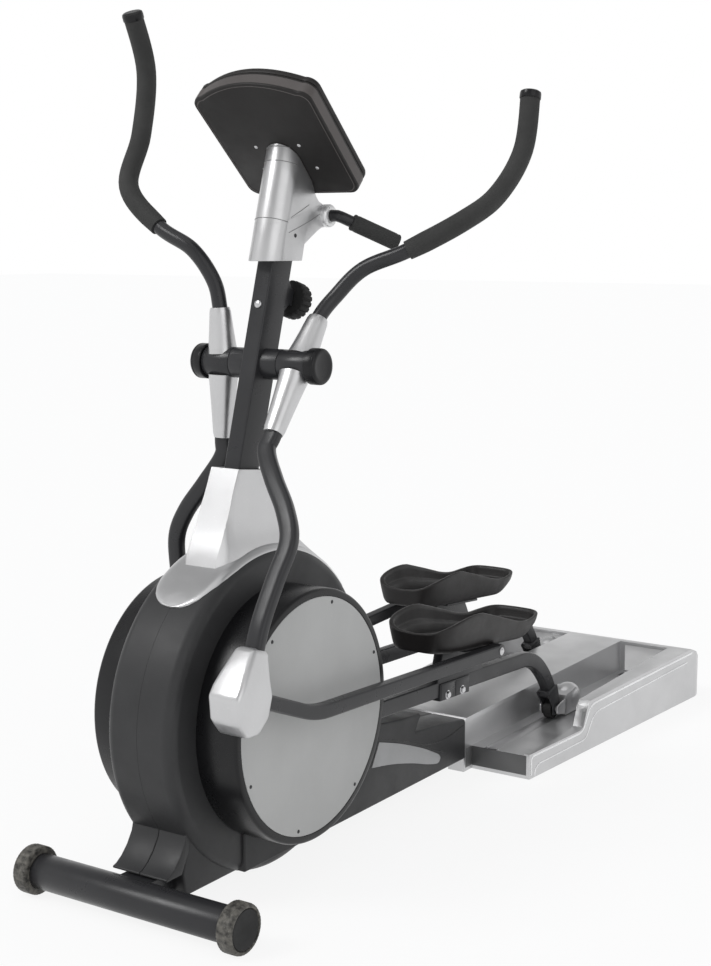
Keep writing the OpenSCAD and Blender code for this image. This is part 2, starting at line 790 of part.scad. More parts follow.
// the stationary drums beside the housing, open at the rear where the links pass
drum_wall = 5;
module drum_guards() {
    color(black) both() difference() {
        union() {
            wheel() difference() {
                translate([0, housing_half + rest]) square([drum_r, disc_x - housing_half - rest]);
                translate([0, housing_half]) square([drum_r - drum_wall, disc_x - housing_half + 1]);
            }
            wheel() translate([disc_r + rest, disc_x - 10]) square([drum_r - disc_r - rest - 1, 10]);
            wheel() translate([disc_r - 18, disc_x - 12]) square([drum_r - disc_r + 17, 5]);
        }
        slab(housing_half + 6, disc_x - 18) translate(crank_c)
            polygon([[0, 0], [300 * cos(44), 300 * sin(44)], [400, 0], [300 * cos(-60), 300 * sin(-60)]]);
        // the drum sits over the wider fairing
        slab(housing_half - 1, fairing_half + rest) translate([front_y, 0]) polygon([[238, 38],
            [1000, 38], [1000, 242], [690, 242], [600, 302], [238, 242]]);
    }
}

module side_discs() {
    color(light) both() across(disc_r, disc_x - 6.7, disc_x, crank_c);
}

screw_angles = [22, 75, 128, 202, 255, 308];
module cover_screws() {
    color(steel) both() for (a = screw_angles)
        across(4, disc_x, disc_x + 1.5, crank_c + turned([disc_r - 11, 0], a));
}

module fairing_inserts() {
    color(light) both() slab(fairing_half, fairing_half + 2) translate([front_y, 0])
        polygon([[743, 184], [927, 126], [1019, 84], [1014, 65], [882, 98], [710, 131]]);
}

// ---------- mast shroud ----------

// outline across the shroud at a height, as [front, rear, half width]
shroud_rows = [[862, 306, 412, 38], [800, 279, 428, 41], [740, 252, 456, 52], [690, 230, 500, 63],
    [640, 211, 560, 71], [600, 197, 600, 75]];
function shroud_ring(r, g) = let (y0 = r[1] + g, y1 = r[2] - g, w = r[3] - g, f = min(w - 3, 38), k = 12,
        b = 10 + 1.5 * (r[3] - 38))
    [for (p = [[-w, y0 + b], [-f, y0], [f, y0], [w, y0 + b], [w, y1 - k], [w - k, y1], [k - w, y1], [-w, y1 - k]])
        [p[0], front_y + p[1], r[0] - 0.12 * (p[1] - 306) * (r[0] - 600) / 262]];
module shroud_solid(g) {
    rows = [for (i = [0:5]) shroud_ring(shroud_rows[i] + [i == 0 && g > 0 ? 1 : 0, 0, 0, 0], g)];
    points = [for (r = rows, q = r) q];
    n = 8;
    polyhedron(points, concat([for (i = [0:4], k = [0:n - 1]) let (j = (k + 1) % n)
        [i * n + k, i * n + j, (i + 1) * n + j, (i + 1) * n + k]],
        [[for (k = [n - 1:-1:0]) k]], [[for (k = [0:n - 1]) 5 * n + k]]), convexity = 4);
}

module mast_shroud() {
    color(silver) {
        difference() {
            shroud_solid(0);
            shroud_solid(wall);
            for (m = [0, 1]) mirror([m, 0, 0]) wheel() rim_section(rest + 1);
        }
        // saddle strip on the top of the housing, ending in a round tongue in front
        both() difference() {
            intersection() {
                wheel() intersection() {
                    difference() {
                        rim_section(rest + 4);
                        rim_section(rest);
                    }
                    square([housing_r + 10, housing_half - 9]);
                }
                translate([0, front_y, 300]) linear_extrude(600) polygon([[0, 126], [22, 128], [40, 135],
                    [54, 146], [64, 162], [72, 184], [76, 210], [78, 240], [78, 700], [-1, 700], [-1, 126]]);
            }
            slab(-2, housing_half) translate(crank_c) polygon([[0, 0], [500 * cos(40), 500 * sin(40)],
                [500, -500], [-500, -500], [-500, 20]]);
            on_mast() translate([-1, -mast_d / 2 - 6, -300]) cube([mast_w / 2 + 7, mast_d + 12, 400]);
        }
    }
}

// ---------- platform ----------

wall_step = 266;
trough_x = 235;
floor_end = rear_y - 195;
deck_y = rear_y - 125;
nose_y = platform_y - 39;

module deck_plan(g) {
    hr = platform_half_rear;
    both() polygon([[-1, platform_y + g], [platform_half_front - g, platform_y + g],
        [hr - g, rear_y - 70 - 0.24 * g], [hr - 35 - 0.62 * g, rear_y - g], [-1, rear_y - g]]);
}

// the rear end, rounded over its top, from the floor up
function tail_profile(g) = [[rear_y, g > 0 ? -1 : 3], [rear_y - g, 62 - 0.3 * g],
    [rear_y - 18 - 0.8 * g, 92 - 0.5 * g], [rear_y - 44 - 0.7 * g, 118 - 0.8 * g],
    [rear_y - 74 - 0.4 * g, 139 - g], [rear_y - 104, platform_height - g]];
function wall_profile(g) = concat([[platform_y, g > 0 ? -1 : 3]], tail_profile(g),
    [[platform_y + wall_step + 22, platform_height - 31 - g], [platform_y + wall_step, track_z + 4 - g],
    [platform_y, track_z + 4 - g]]);

module troughs(g) {
    both() translate([ridge_half - g, platform_y - 60, track_z - g])
        cube([trough_x - ridge_half + 2 * g, deck_y + g - platform_y + 60, 300]);
}

module deck_solid(g) {
    difference() {
        union() {
            intersection() {
                linear_extrude(400) deck_plan(g);
                slab(-400, 400) polygon(wall_profile(g));
            }
            slab(-ridge_half + g, ridge_half - g) polygon(concat([[nose_y + g, g > 0 ? -1 : 3]], tail_profile(g),
                [[nose_y + 12 + g, platform_height - 10 - g], [nose_y + g, platform_height - 22 - g]]));
        }
        troughs(g);
    }
}

module platform_cover() {
    color(silver) difference() {
        deck_solid(0);
        deck_solid(wall);
        // beam opening, rail slots and the openings under the rear deck
        translate([-41, nose_y - 10, 0]) cube([82, 100, beam_z + beam_h + 1]);
        both() {
            translate([link_x - 17 - rest, platform_y - 1, track_z - 10])
                cube([34 + 2 * rest, floor_end + rest - platform_y + 1, 20]);
            translate([ridge_half + 18, floor_end + 10, track_z - 10])
                cube([trough_x - ridge_half - 18, deck_y - floor_end - 20, 20]);
            translate([ridge_half + 14, deck_y - 10, track_z + 0.8])
                cube([trough_x - ridge_half - 14, 30, platform_height - track_z - 11]);
        }
    }
}

module track_rails() {
    color(steel) both() difference() {
        translate([link_x - 17, platform_y + 12, beam_z]) cube([34, floor_end - platform_y - 12, track_z - beam_z]);
        translate([link_x - 13, platform_y + 11, beam_z - 1])
            cube([26, floor_end - platform_y, track_z - beam_z - 3]);
    }
}

// ---------- console ----------

// console outline in the board's plane, inset by g
module board_plan(g) {
    w = console_w / 2 - g;
    h = console_h / 2 - g;
    k = 24;
    polygon(concat(
        [for (i = [0:12]) let (t = 1 - i / 6) [t * (w - k), h + bulge * (1 - t * t)]],
        [for (a = [15:15:90]) [-w + k - k * sin(a), h - k + k * cos(a)]],
        [for (a = [0:15:90]) [-w + 5 + k - k * cos(a), -h + k - k * sin(a)]],
        [for (a = [0:15:90]) [w - 5 - k + k * sin(a), -h + k - k * cos(a)]],
        [for (a = [0:15:75]) [w - k + k * cos(a), h - k + k * sin(a)]]));
}

// a plate of the console between the depths y0 and y1
module board(y0, y1) {
    translate([0, y1, 0]) rotate([90, 0, 0]) linear_extrude(y1 - y0) children();
}

module console_back() {
    color(dark) on_console() difference() {
        board(0, console_t - face_t) board_plan(0);
        board(wall, console_t) board_plan(wall);
        translate([-13, -1, -78]) cube([26, 20, 28]);
    }
    color(light) on_console() for (p = [[-68, -74], [68, -74], [0, 52]])
        translate([p[0], 0.5, p[1]]) rotate([90, 0, 0]) cylinder(r = 6, h = 3.5);
}

button_r = 14;
button_z = -85;
button_row = [-75, -25, 25, 75];
window = [90, 96];
module console_face() {
    color(black) on_console() difference() {
        board(console_t - face_t, console_t) board_plan(0);
        board(console_t - 4, console_t + 1) translate([0, 60]) square(window + [90, 0] + [1, 1], center = true);
        for (x = button_row) translate([x, 0, button_z]) rotate([-90, 0, 0]) {
            cylinder(r = button_r + rest, h = 200);
            cylinder(r = button_r + 4, h = console_t - face_t + 7);
        }
    }
}

module display_window() {
    color([0.2, 0.24, 0.22]) on_console() board(console_t - 4, console_t - 1)
        translate([0, 60]) square(window + [90, 0], center = true);
}

module button(i) {
    on_console() translate([button_row[i], 0, button_z]) rotate([-90, 0, 0]) {
        translate([0, 0, console_t - face_t + 6.7]) cylinder(r = button_r, h = face_t - 6.7 + 3.5);
        translate([0, 0, console_t - face_t + 3.7]) cylinder(r = button_r + 3, h = 3);
    }
}

module start_button() { color([0.1, 0.5, 0.2]) button(0); }
module stop_button() { color([0.7, 0.1, 0.1]) button(1); }
module down_button() { color(light) button(2); }
module up_button() { color(light) button(3); }

// ---------- neck and fixed handlebar ----------

neck_half = 40;
// side profile of the neck, [y, z] in the mast's frame at the height of the console
module neck_solid(g) {
    intersection() {
        on_mast() translate([0, 0, 300]) linear_extrude(600) {
            translate([0, -25]) circle(r = neck_half - g);
            translate([-neck_half + g, -25]) square([2 * (neck_half - g), 400]);
        }
        slab(-neck_half + g, neck_half - g) {
            translate([front_y, 0]) polygon([[300, 1278 + g], [524 - g, 1278 + g], [534 - g, 1312 + g],
                [600, 1343 + g], [628, 1348 + g], [628, 1396 - g], [600, 1400 - g], [560 - g, 1425],
                [486 - g, 1540], [300, 1800]]);
            translate(bar_c) circle(r = 24 - g);
        }
    }
}

module neck() {
    difference() {
        neck_solid(0);
        neck_solid(wall);
        on_mast() translate([-mast_w / 2 - rest, -mast_d / 2 - rest, 0])
            cube([mast_w + 2 * rest, mast_d + 2 * rest, mast_top + 100]);
        across(bar_r + rest, -60, 60, bar_c);
        on_console() translate([-200, -rest, -400]) cube([400, 400, 800]);
    }
}

// the parting line between the two halves of the neck
module above_parting(g) {
    slab(-100, 100) translate([front_y, 0]) polygon([[200, 1294 + g], [800, 1444 + g], [800, 2000], [200, 2000]]);
}

module neck_lower() {
    color(silver) difference() {
        neck();
        above_parting(-slip / 2);
    }
}

module neck_upper() {
    color(silver) intersection() {
        neck();
        above_parting(slip / 2);
    }
}

bar_out = [62, 0, 0];
bar_reach = [150, 88, -56];
module fixed_handlebar() {
    c = [0, bar_c[0], bar_c[1]];
    half = [[48, 0, 0], [62, 3, -2], [78, 17, -11], [112, 51, -32], bar_reach];
    path = concat([for (i = [4:-1:0]) c + [-half[i][0], half[i][1], half[i][2]]], [for (p = half) c + p]);
    color(dark) sweep(path, 2 * bar_r, 2 * bar_r);
}

module handlebar_grips() {
    c = [0, bar_c[0], bar_c[1]];
    d = unit(bar_reach - [78, 17, -11]);
    color(black) both() difference() {
        rod(c + bar_reach - 105 * d, c + bar_reach + 6 * d, 18);
        rod(c + bar_reach - 110 * d, c + bar_reach + 0.3 * d, bar_r + rest);
    }
}

knob_z = 371;
knob_y = 66;
module tension_knob() {
    color(black) on_mast() translate([0, knob_y, knob_z]) rotate([-90, 0, 0]) {
        difference() {
            cylinder(r = 40, h = 34);
            for (a = [0:20:340]) rotate([0, 0, a]) translate([42, 0, -1]) cylinder(r = 5, h = 40, $fn = 16);
        }
        translate([0, 0, -10]) cylinder(r = 6, h = 11);
    }
}

// ---------- left and right pieces ----------

module left_swing_arm() { color(dark) on_arm(left_angle) swing_arm(); }
module right_swing_arm() { color(dark) right_side() on_arm(right_angle) swing_arm(); }
module left_arm_covers() { color(silver) on_arm(left_angle) arm_covers(); }
module right_arm_covers() { color(silver) right_side() on_arm(right_angle) arm_covers(); }
module left_grip() { color(black) on_arm(left_angle) grip(); }
module right_grip() { color(black) right_side() on_arm(right_angle) grip(); }
module left_joint_boot() { color(silver) on_arm(left_angle) joint_boot(); }
module right_joint_boot() { color(silver) right_side() on_arm(right_angle) joint_boot(); }
module left_joint_pin() { color(steel) on_tube(left_angle) joint_pin(); }
module right_joint_pin() { color(steel) right_side() on_tube(right_angle) joint_pin(); }
module left_pedal_tube() { color(dark) on_tube(left_angle) pedal_tube(); }
module right_pedal_tube() { color(dark) right_side() on_tube(right_angle) pedal_tube(); }
module left_pedal() { color(black) on_link(left_angle) place_pedal() pedal(); }
module right_pedal() { color(black) right_side() on_link(right_angle) place_pedal() pedal(); }
module left_link() { color(dark) on_link(left_angle) link(); }
module right_link() { color(dark) right_side() on_link(right_angle) link(); }
module left_carriage() { color(silver) on_axle(left_angle) carriage(); }
module right_carriage() { color(silver) right_side() on_axle(right_angle) carriage(); }
module left_roller() { color(black) on_axle(left_angle) roller(); }
module right_roller() { color(black) right_side() on_axle(right_angle) roller(); }
module left_crank_arm() { color(steel) crank_arm(left_angle); }
module right_crank_arm() { color(steel) right_side() crank_arm(right_angle); }

front_stabilizer();
stabilizer_caps();
main_frame();
mast_post();
pivot_bar();
pivot_bar_caps();
hub_bushes();
mast_shroud();
left_housing_shell();
right_housing_shell();
drum_guards();
side_discs();
cover_screws();
fairing_inserts();
platform_cover();
track_rails();
levelling_feet();
crank_bearings();
flywheel_axle();
drive_belt();
console_back();
console_face();
display_window();
neck_lower();
neck_upper();
fixed_handlebar();
handlebar_grips();
tension_knob();
start_button();
stop_button();
up_button();
down_button();
crank_shaft();
left_crank_arm();
right_crank_arm();
drive_pulley();
flywheel();
belt_tensioner();
brake_bracket();
left_swing_arm();
left_arm_covers();
left_grip();
left_joint_boot();
left_joint_pin();
left_pedal_tube();
left_pedal();
left_link();
left_carriage();
left_roller();
right_swing_arm();
right_arm_covers();
right_grip();
right_joint_boot();
right_joint_pin();
right_pedal_tube();
right_pedal();
right_link();
right_carriage();
right_roller();
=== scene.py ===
import json
import math

import bmesh
import bpy
from mathutils import Matrix, Vector


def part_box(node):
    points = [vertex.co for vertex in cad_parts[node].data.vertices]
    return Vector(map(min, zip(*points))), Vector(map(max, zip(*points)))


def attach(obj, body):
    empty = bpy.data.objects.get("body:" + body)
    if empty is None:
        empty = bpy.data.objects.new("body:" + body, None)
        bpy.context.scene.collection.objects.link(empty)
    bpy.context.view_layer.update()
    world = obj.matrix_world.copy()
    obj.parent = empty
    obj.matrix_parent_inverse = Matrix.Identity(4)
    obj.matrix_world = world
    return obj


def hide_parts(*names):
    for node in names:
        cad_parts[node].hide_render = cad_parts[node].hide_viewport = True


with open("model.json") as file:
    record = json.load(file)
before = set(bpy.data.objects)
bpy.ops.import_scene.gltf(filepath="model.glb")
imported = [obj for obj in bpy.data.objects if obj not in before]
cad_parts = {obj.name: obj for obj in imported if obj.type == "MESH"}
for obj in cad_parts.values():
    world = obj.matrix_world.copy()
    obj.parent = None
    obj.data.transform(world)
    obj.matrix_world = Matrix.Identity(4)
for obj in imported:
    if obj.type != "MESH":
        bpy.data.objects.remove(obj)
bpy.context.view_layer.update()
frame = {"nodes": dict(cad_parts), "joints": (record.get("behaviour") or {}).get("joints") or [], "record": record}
print("frame loaded:", len(frame["nodes"]), "nodes")

mm = 0.001
spots = {j["name"]: Vector(j["pos_m"]) / mm for j in frame["joints"] if "pos_m" in j}
frontY = sum(corner.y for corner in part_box("stabilizer_caps")) / 2 / mm  # axis of the front foot tube
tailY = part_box("platform_cover")[1].y / mm - frontY
scene = bpy.context.scene


# Shapes are in millimetres, with y measured from the axis of the front foot tube.
def shift(x, y, z):
    return Matrix.Translation((x, y, z))


def spun(angle, axis="X"):
    return Matrix.Rotation(math.radians(angle), 4, axis)


def facing(direction):
    return direction.normalized().to_track_quat("Z", "Y").to_matrix().to_4x4()


def placed(y=0.0, z=0.0, turn=0.0, side=1):
    move = shift(0, y + frontY, z) @ spun(turn)
    return Matrix.Diagonal((side * mm, mm, mm, 1)) @ move


def spot(joint):
    return Vector((0, spots[joint].y - frontY, spots[joint].z))


def bearing(a, b):
    return math.degrees(math.atan2(b.z - a.z, b.y - a.y))


linkage = {"crankRadius": 215, "crankAngle": 177, "armRake": 13.5, "knuckle": (867, 170)}
pivot = spot("left_swing")
crank = spot("crank_spin")
sides = {}
for name, side, lag in (("left", 1, 0), ("right", -1, 180)):
    turn = math.radians(linkage["crankAngle"] + lag)
    pin = crank + linkage["crankRadius"] * Vector((0, math.cos(turn), math.sin(turn)))
    axle = spot(name + "_link_pivot")
    joint = spot(name + "_tube_pivot")
    tilt = bearing(pin, axle)
    knuckle = pin + Matrix.Rotation(math.radians(tilt), 3, "X") @ Vector((0, *linkage["knuckle"]))
    sides[name] = {
        "arm": placed(pivot.y, pivot.z, bearing(pivot, joint) + 90 + linkage["armRake"], side),
        "tube": placed(joint.y, joint.z, bearing(joint, knuckle), side),
        "link": placed(pin.y, pin.z, tilt, side),
        "axle": placed(axle.y, axle.z, 0, side),
        "still": placed(side=side),
    }
machine = placed()
mastFrame = placed(363, 861, -16.1)
consoleFrame = placed(492, 1513, 46.8)
crossAxis = spun(90, "Y")  # turns a lathe's z axis across the machine


# shapes, each a pair of points and faces
def rings(loops, closed=False):
    count = len(loops[0])
    faces = []
    last = len(loops) if closed else len(loops) - 1
    for i in range(last):
        a, b = i * count, (i + 1) % len(loops) * count
        faces += [(a + k, a + (k + 1) % count, b + (k + 1) % count, b + k) for k in range(count)]
    if not closed:
        faces += [tuple(range(count - 1, -1, -1)), tuple((len(loops) - 1) * count + k for k in range(count))]
    return [Vector(p) for loop in loops for p in loop], faces


def lathe(profile, steps=96, closed=False, flutes=0, fluteDepth=0):
    loops = []
    for z, r in profile:
        loop = []
        for k in range(steps):
            a = 2 * math.pi * k / steps
            dip = fluteDepth * (0.5 + 0.5 * math.cos(flutes * a)) ** 2 if flutes and r > 20 else 0
            loop.append(((r - dip) * math.cos(a), (r - dip) * math.sin(a), z))
        loops.append(loop)
    return rings(loops, closed)


def moved(shape, matrix):
    return [matrix @ p for p in shape[0]], shape[1]


def across(profile, y=0, z=0, steps=96, **extra):
    return moved(lathe(profile, steps, **extra), shift(0, y, z) @ crossAxis)


def rod(r, x0, x1, y=0, z=0, edge=1.5, steps=48):
    return across([(x0, r - edge), (x0 + edge * 0.3, r - edge * 0.3), (x0 + edge, r), (x1 - edge, r),
                   (x1 - edge * 0.3, r - edge * 0.3), (x1, r - edge)], y, z, steps)


def slab(outline, x0, x1):
    return rings([[(x, y, z) for y, z in outline] for x in (x0, x1)])


def plan(outline, z0, z1):
    return rings([[(x, y, z) for x, y in outline] for z in (z0, z1)])


def block(x0, x1, y0, y1, z0, z1):
    return slab([(y0, z0), (y1, z0), (y1, z1), (y0, z1)], x0, x1)


def smoothPath(points, steps):
    p = [Vector(q) for q in points]
    out = []
    for i in range(len(p) - 1):
        a, b, c, d = p[max(i - 1, 0)], p[i], p[i + 1], p[min(i + 2, len(p) - 1)]
        for k in range(steps):
            t = k / steps
            out.append(0.5 * (2 * b + (c - a) * t + (2 * a - 5 * b + 4 * c - d) * t * t
                              + (3 * b - a - 3 * c + d) * t ** 3))
    return out + [p[-1]]


def signedPower(v, e):
    return math.copysign(abs(v) ** e, v)


def sweep(path, width, height, square=1.0, count=32):
    loops = []
    last = len(path) - 1
    for i, c in enumerate(path):
        t = (path[min(i + 1, last)] - path[max(i - 1, 0)]).normalized()
        u = (Vector((1, 0, 0)) - t * t.x).normalized()
        v = t.cross(u)
        w = width[i] if isinstance(width, list) else width
        h = height[i] if isinstance(height, list) else height
        loop = []
        for a in (2 * math.pi * (k + 0.5) / count for k in range(count)):
            sideways, upward = signedPower(math.cos(a), square), signedPower(math.sin(a), square)
            loop.append(c + u * w / 2 * sideways + v * h / 2 * upward)
        loops.append(loop)
    return rings(loops)


def roundedBox(w, h, r, steps=4):
    out = []
    for x, y, first in ((w / 2 - r, h / 2 - r, 0), (r - w / 2, h / 2 - r, 90), (r - w / 2, r - h / 2, 180),
                        (w / 2 - r, r - h / 2, 270)):
        turns = [math.radians(first + 90 * k / steps) for k in range(steps + 1)]
        out += [(x + r * math.cos(a), y + r * math.sin(a)) for a in turns]
    return out


def bar(route, height, thick, radius, x):
    section = roundedBox(thick, height, radius)
    loops = []
    last = len(route) - 1
    for i, (y, z) in enumerate(route):
        a = route[max(i - 1, 0)]
        b = route[min(i + 1, last)]
        before = math.atan2(z - a[1], y - a[0]) if i else math.atan2(b[1] - z, b[0] - y)
        after = math.atan2(b[1] - z, b[0] - y) if i < last else before
        turn = (before + after) / 2 + math.pi / 2
        stretch = 1 / math.cos((after - before) / 2)
        loops.append([(x + sx, y + math.cos(turn) * sz * stretch, z + math.sin(turn) * sz * stretch)
                      for sx, sz in section])
    return rings(loops)


def filleted(route, radius, steps=6):
    out = [route[0]]
    for a, b, c in zip(route, route[1:], route[2:]):
        a, b, c = Vector(a), Vector(b), Vector(c)
        near = b + (a - b).normalized() * min(radius, (a - b).length * 0.45)
        far = b + (c - b).normalized() * min(radius, (c - b).length * 0.45)
        out += [tuple(near * (1 - t) ** 2 + b * 2 * t * (1 - t) + far * t * t)
                for t in (k / steps for k in range(steps + 1))]
    return out + [route[-1]]


# meshes made from the shapes, and the work done on them
def joined(*shapes):
    points, faces = [], []
    for shape in shapes:
        faces += [tuple(k + len(points) for k in face) for face in shape[1]]
        points += shape[0]
    return points, faces


def makePiece(name, shape, place=machine, sharp=38):
    mesh = bpy.data.meshes.new(name)
    mesh.from_pydata([place @ p for p in shape[0]], [], shape[1])
    work = bmesh.new()
    work.from_mesh(mesh)
    bmesh.ops.remove_doubles(work, verts=work.verts, dist=1e-6)
    bmesh.ops.recalc_face_normals(work, faces=work.faces)
    work.to_mesh(mesh)
    work.free()
    piece = bpy.data.objects.new(name, mesh)
    scene.collection.objects.link(piece)
    smooth(piece, sharp)
    return piece


def smooth(piece, sharp=38):
    piece.data.shade_smooth()
    piece.data.set_sharp_from_angle(angle=math.radians(sharp))


def settle(piece, sharp=38):
    graph = bpy.context.evaluated_depsgraph_get()
    mesh = bpy.data.meshes.new_from_object(piece.evaluated_get(graph))
    piece.modifiers.clear()
    piece.data = mesh
    smooth(piece, sharp)
    return piece


def roundEdges(piece, width, segments=3, angle=30, sharp=38):
    bevel = piece.modifiers.new("edges", "BEVEL")
    bevel.width = width * mm
    bevel.segments = segments
    bevel.limit_method = "ANGLE"
    bevel.angle_limit = math.radians(angle)
    bevel.use_clamp_overlap = True
    return settle(piece, sharp)


def carve(piece, *shapes, place=machine, operation="DIFFERENCE"):
    for shape in shapes:
        tool = shape if isinstance(shape, bpy.types.Object) else makePiece("tool", shape, place)
        cut = piece.modifiers.new("cut", "BOOLEAN")
        cut.object = tool
        cut.operation = operation
        cut.solver = "EXACT"
        settle(piece)
        bpy.data.objects.remove(tool)
    return piece


def finishPiece(piece, body, finish, *nodes):
    piece.data.materials.clear()
    piece.data.materials.append(finishes[finish])
    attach(piece, body)
    if nodes:
        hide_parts(*nodes)
    return piece


def dress(name, shape, place, body, finish, *nodes, edge=()):
    piece = makePiece(name, shape, place)
    if edge:
        roundEdges(piece, *edge)
    return finishPiece(piece, body, finish, *nodes)


def mirroredBlock(side, x0, x1, *rest):
    return block(*sorted((side * x0, side * x1)), *rest)


# shader groups and the nodes in them
def makeGroup(name, inputs, outputs):
    tree = bpy.data.node_groups.new(name, "ShaderNodeTree")
    for label, kind, value in inputs:
        tree.interface.new_socket(label, in_out="INPUT",
                                  socket_type="NodeSocket" + kind).default_value = value
    for label, kind in outputs:
        tree.interface.new_socket(label, in_out="OUTPUT", socket_type="NodeSocket" + kind)
    return tree, tree.nodes.new("NodeGroupInput"), tree.nodes.new("NodeGroupOutput")


def addNode(tree, kind, settings=None, **links):
    node = tree.nodes.new(kind)
    for key, value in (settings or {}).items():
        if hasattr(node, key):
            setattr(node, key, value)
        else:
            node.inputs[key].default_value = value
    for key, source in links.items():
        tree.links.new(source, node.inputs[key.replace("_", " ")])
    return node


def noiseNode(tree, place, scale, detail=3.0, rough=0.55):
    node = addNode(tree, "ShaderNodeTexNoise", {"Detail": detail, "Roughness": rough})
    tree.links.new(place, node.inputs["Vector"])
    if isinstance(scale, (int, float)):
        node.inputs["Scale"].default_value = scale
    else:
        tree.links.new(scale, node.inputs["Scale"])
    return node.outputs["Fac"]


def ranged(tree, value, low, high, outLow=0.0, outHigh=1.0):
    node = addNode(tree, "ShaderNodeMapRange",
                   {"From Min": low, "From Max": high, "To Min": outLow, "To Max": outHigh})
    tree.links.new(value, node.inputs["Value"])
    return node.outputs["Result"]


def maths(tree, operation, a, b):
    node = addNode(tree, "ShaderNodeMath", {"operation": operation})
    for k, value in enumerate((a, b)):
        if isinstance(value, (int, float)):
            node.inputs[k].default_value = value
        else:
            tree.links.new(value, node.inputs[k])
    return node.outputs[0]


def buildGrainGroup():
    inputs = (("Place", "Vector", (0, 0, 0)), ("Grain Scale", "Float", 900.0), ("Mottle Scale", "Float", 9.0))
    tree, given, out = makeGroup("mouldedGrain", inputs, (("Height", "Float"), ("Mottle", "Float")))
    grain = noiseNode(tree, given.outputs["Place"], given.outputs["Grain Scale"], 2.0)
    coarse = noiseNode(tree, given.outputs["Place"], given.outputs["Mottle Scale"], 4.0)
    tree.links.new(grain, out.inputs["Height"])
    tree.links.new(ranged(tree, coarse, 0.32, 0.68), out.inputs["Mottle"])
    return tree


def buildHandlingGroup():
    inputs = (("Place", "Vector", (0, 0, 0)), ("Smear Scale", "Float", 14.0), ("Speck Scale", "Float", 260.0))
    tree, given, out = makeGroup("handlingMarks", inputs, (("Smear", "Float"), ("Specks", "Float")))
    warp = noiseNode(tree, given.outputs["Place"], given.outputs["Smear Scale"], 5.0, 0.65)
    specks = noiseNode(tree, given.outputs["Place"], given.outputs["Speck Scale"], 1.0)
    tree.links.new(ranged(tree, warp, 0.38, 0.66), out.inputs["Smear"])
    tree.links.new(ranged(tree, specks, 0.70, 0.76), out.inputs["Specks"])
    return tree


grainGroup = buildGrainGroup()
handlingGroup = buildHandlingGroup()


def makeFinish(name, look):
    material = bpy.data.materials.new(name)
    material.use_nodes = True
    tree = material.node_tree
    shader = tree.nodes["Principled BSDF"]
    place = addNode(tree, "ShaderNodeTexCoord").outputs["Object"]
    grain = addNode(tree, "ShaderNodeGroup", {"node_tree": grainGroup})
    grain.inputs["Grain Scale"].default_value = look["grain"]
    grain.inputs["Mottle Scale"].default_value = look.get("mottle", 9.0)
    marks = addNode(tree, "ShaderNodeGroup", {"node_tree": handlingGroup})
    marks.inputs["Smear Scale"].default_value = look.get("smear", 14.0)
    for group in (grain, marks):
        tree.links.new(place, group.inputs["Place"])
    colour = look["colour"]
    spread = look.get("spread", 0.08)
    shades = addNode(tree, "ShaderNodeMix", {"data_type": "RGBA"})
    tree.links.new(grain.outputs["Mottle"], shades.inputs[0])
    for socket in shades.inputs:
        if socket.type == "RGBA":
            end = socket.name == "B"
            socket.default_value = (*[min(1, c * (1 + (spread if end else -spread))) for c in colour], 1)
    result = [s for s in shades.outputs if s.type == "RGBA"][0]
    dusty = addNode(tree, "ShaderNodeMix", {"data_type": "RGBA"})
    rgba = [s for s in dusty.inputs if s.type == "RGBA"]
    rgba[1].default_value = (*look.get("dust", [min(1, c * 1.6 + 0.02) for c in colour]), 1)
    tree.links.new(result, rgba[0])
    tree.links.new(maths(tree, "MULTIPLY", marks.outputs["Specks"], look.get("specks", 0.15)),
                   dusty.inputs[0])
    tree.links.new([s for s in dusty.outputs if s.type == "RGBA"][0], shader.inputs["Base Color"])
    tree.links.new(ranged(tree, marks.outputs["Smear"], 0, 1, look["rough"][0], look["rough"][1]),
                   shader.inputs["Roughness"])
    bump = addNode(tree, "ShaderNodeBump",
                   {"Strength": look.get("bump", 0.2), "Distance": look.get("depth", 0.0004)})
    tree.links.new(grain.outputs["Height"], bump.inputs["Height"])
    tree.links.new(bump.outputs["Normal"], shader.inputs["Normal"])
    for socket, value in look.get("plain", {}).items():
        shader.inputs[socket].default_value = value
    return material


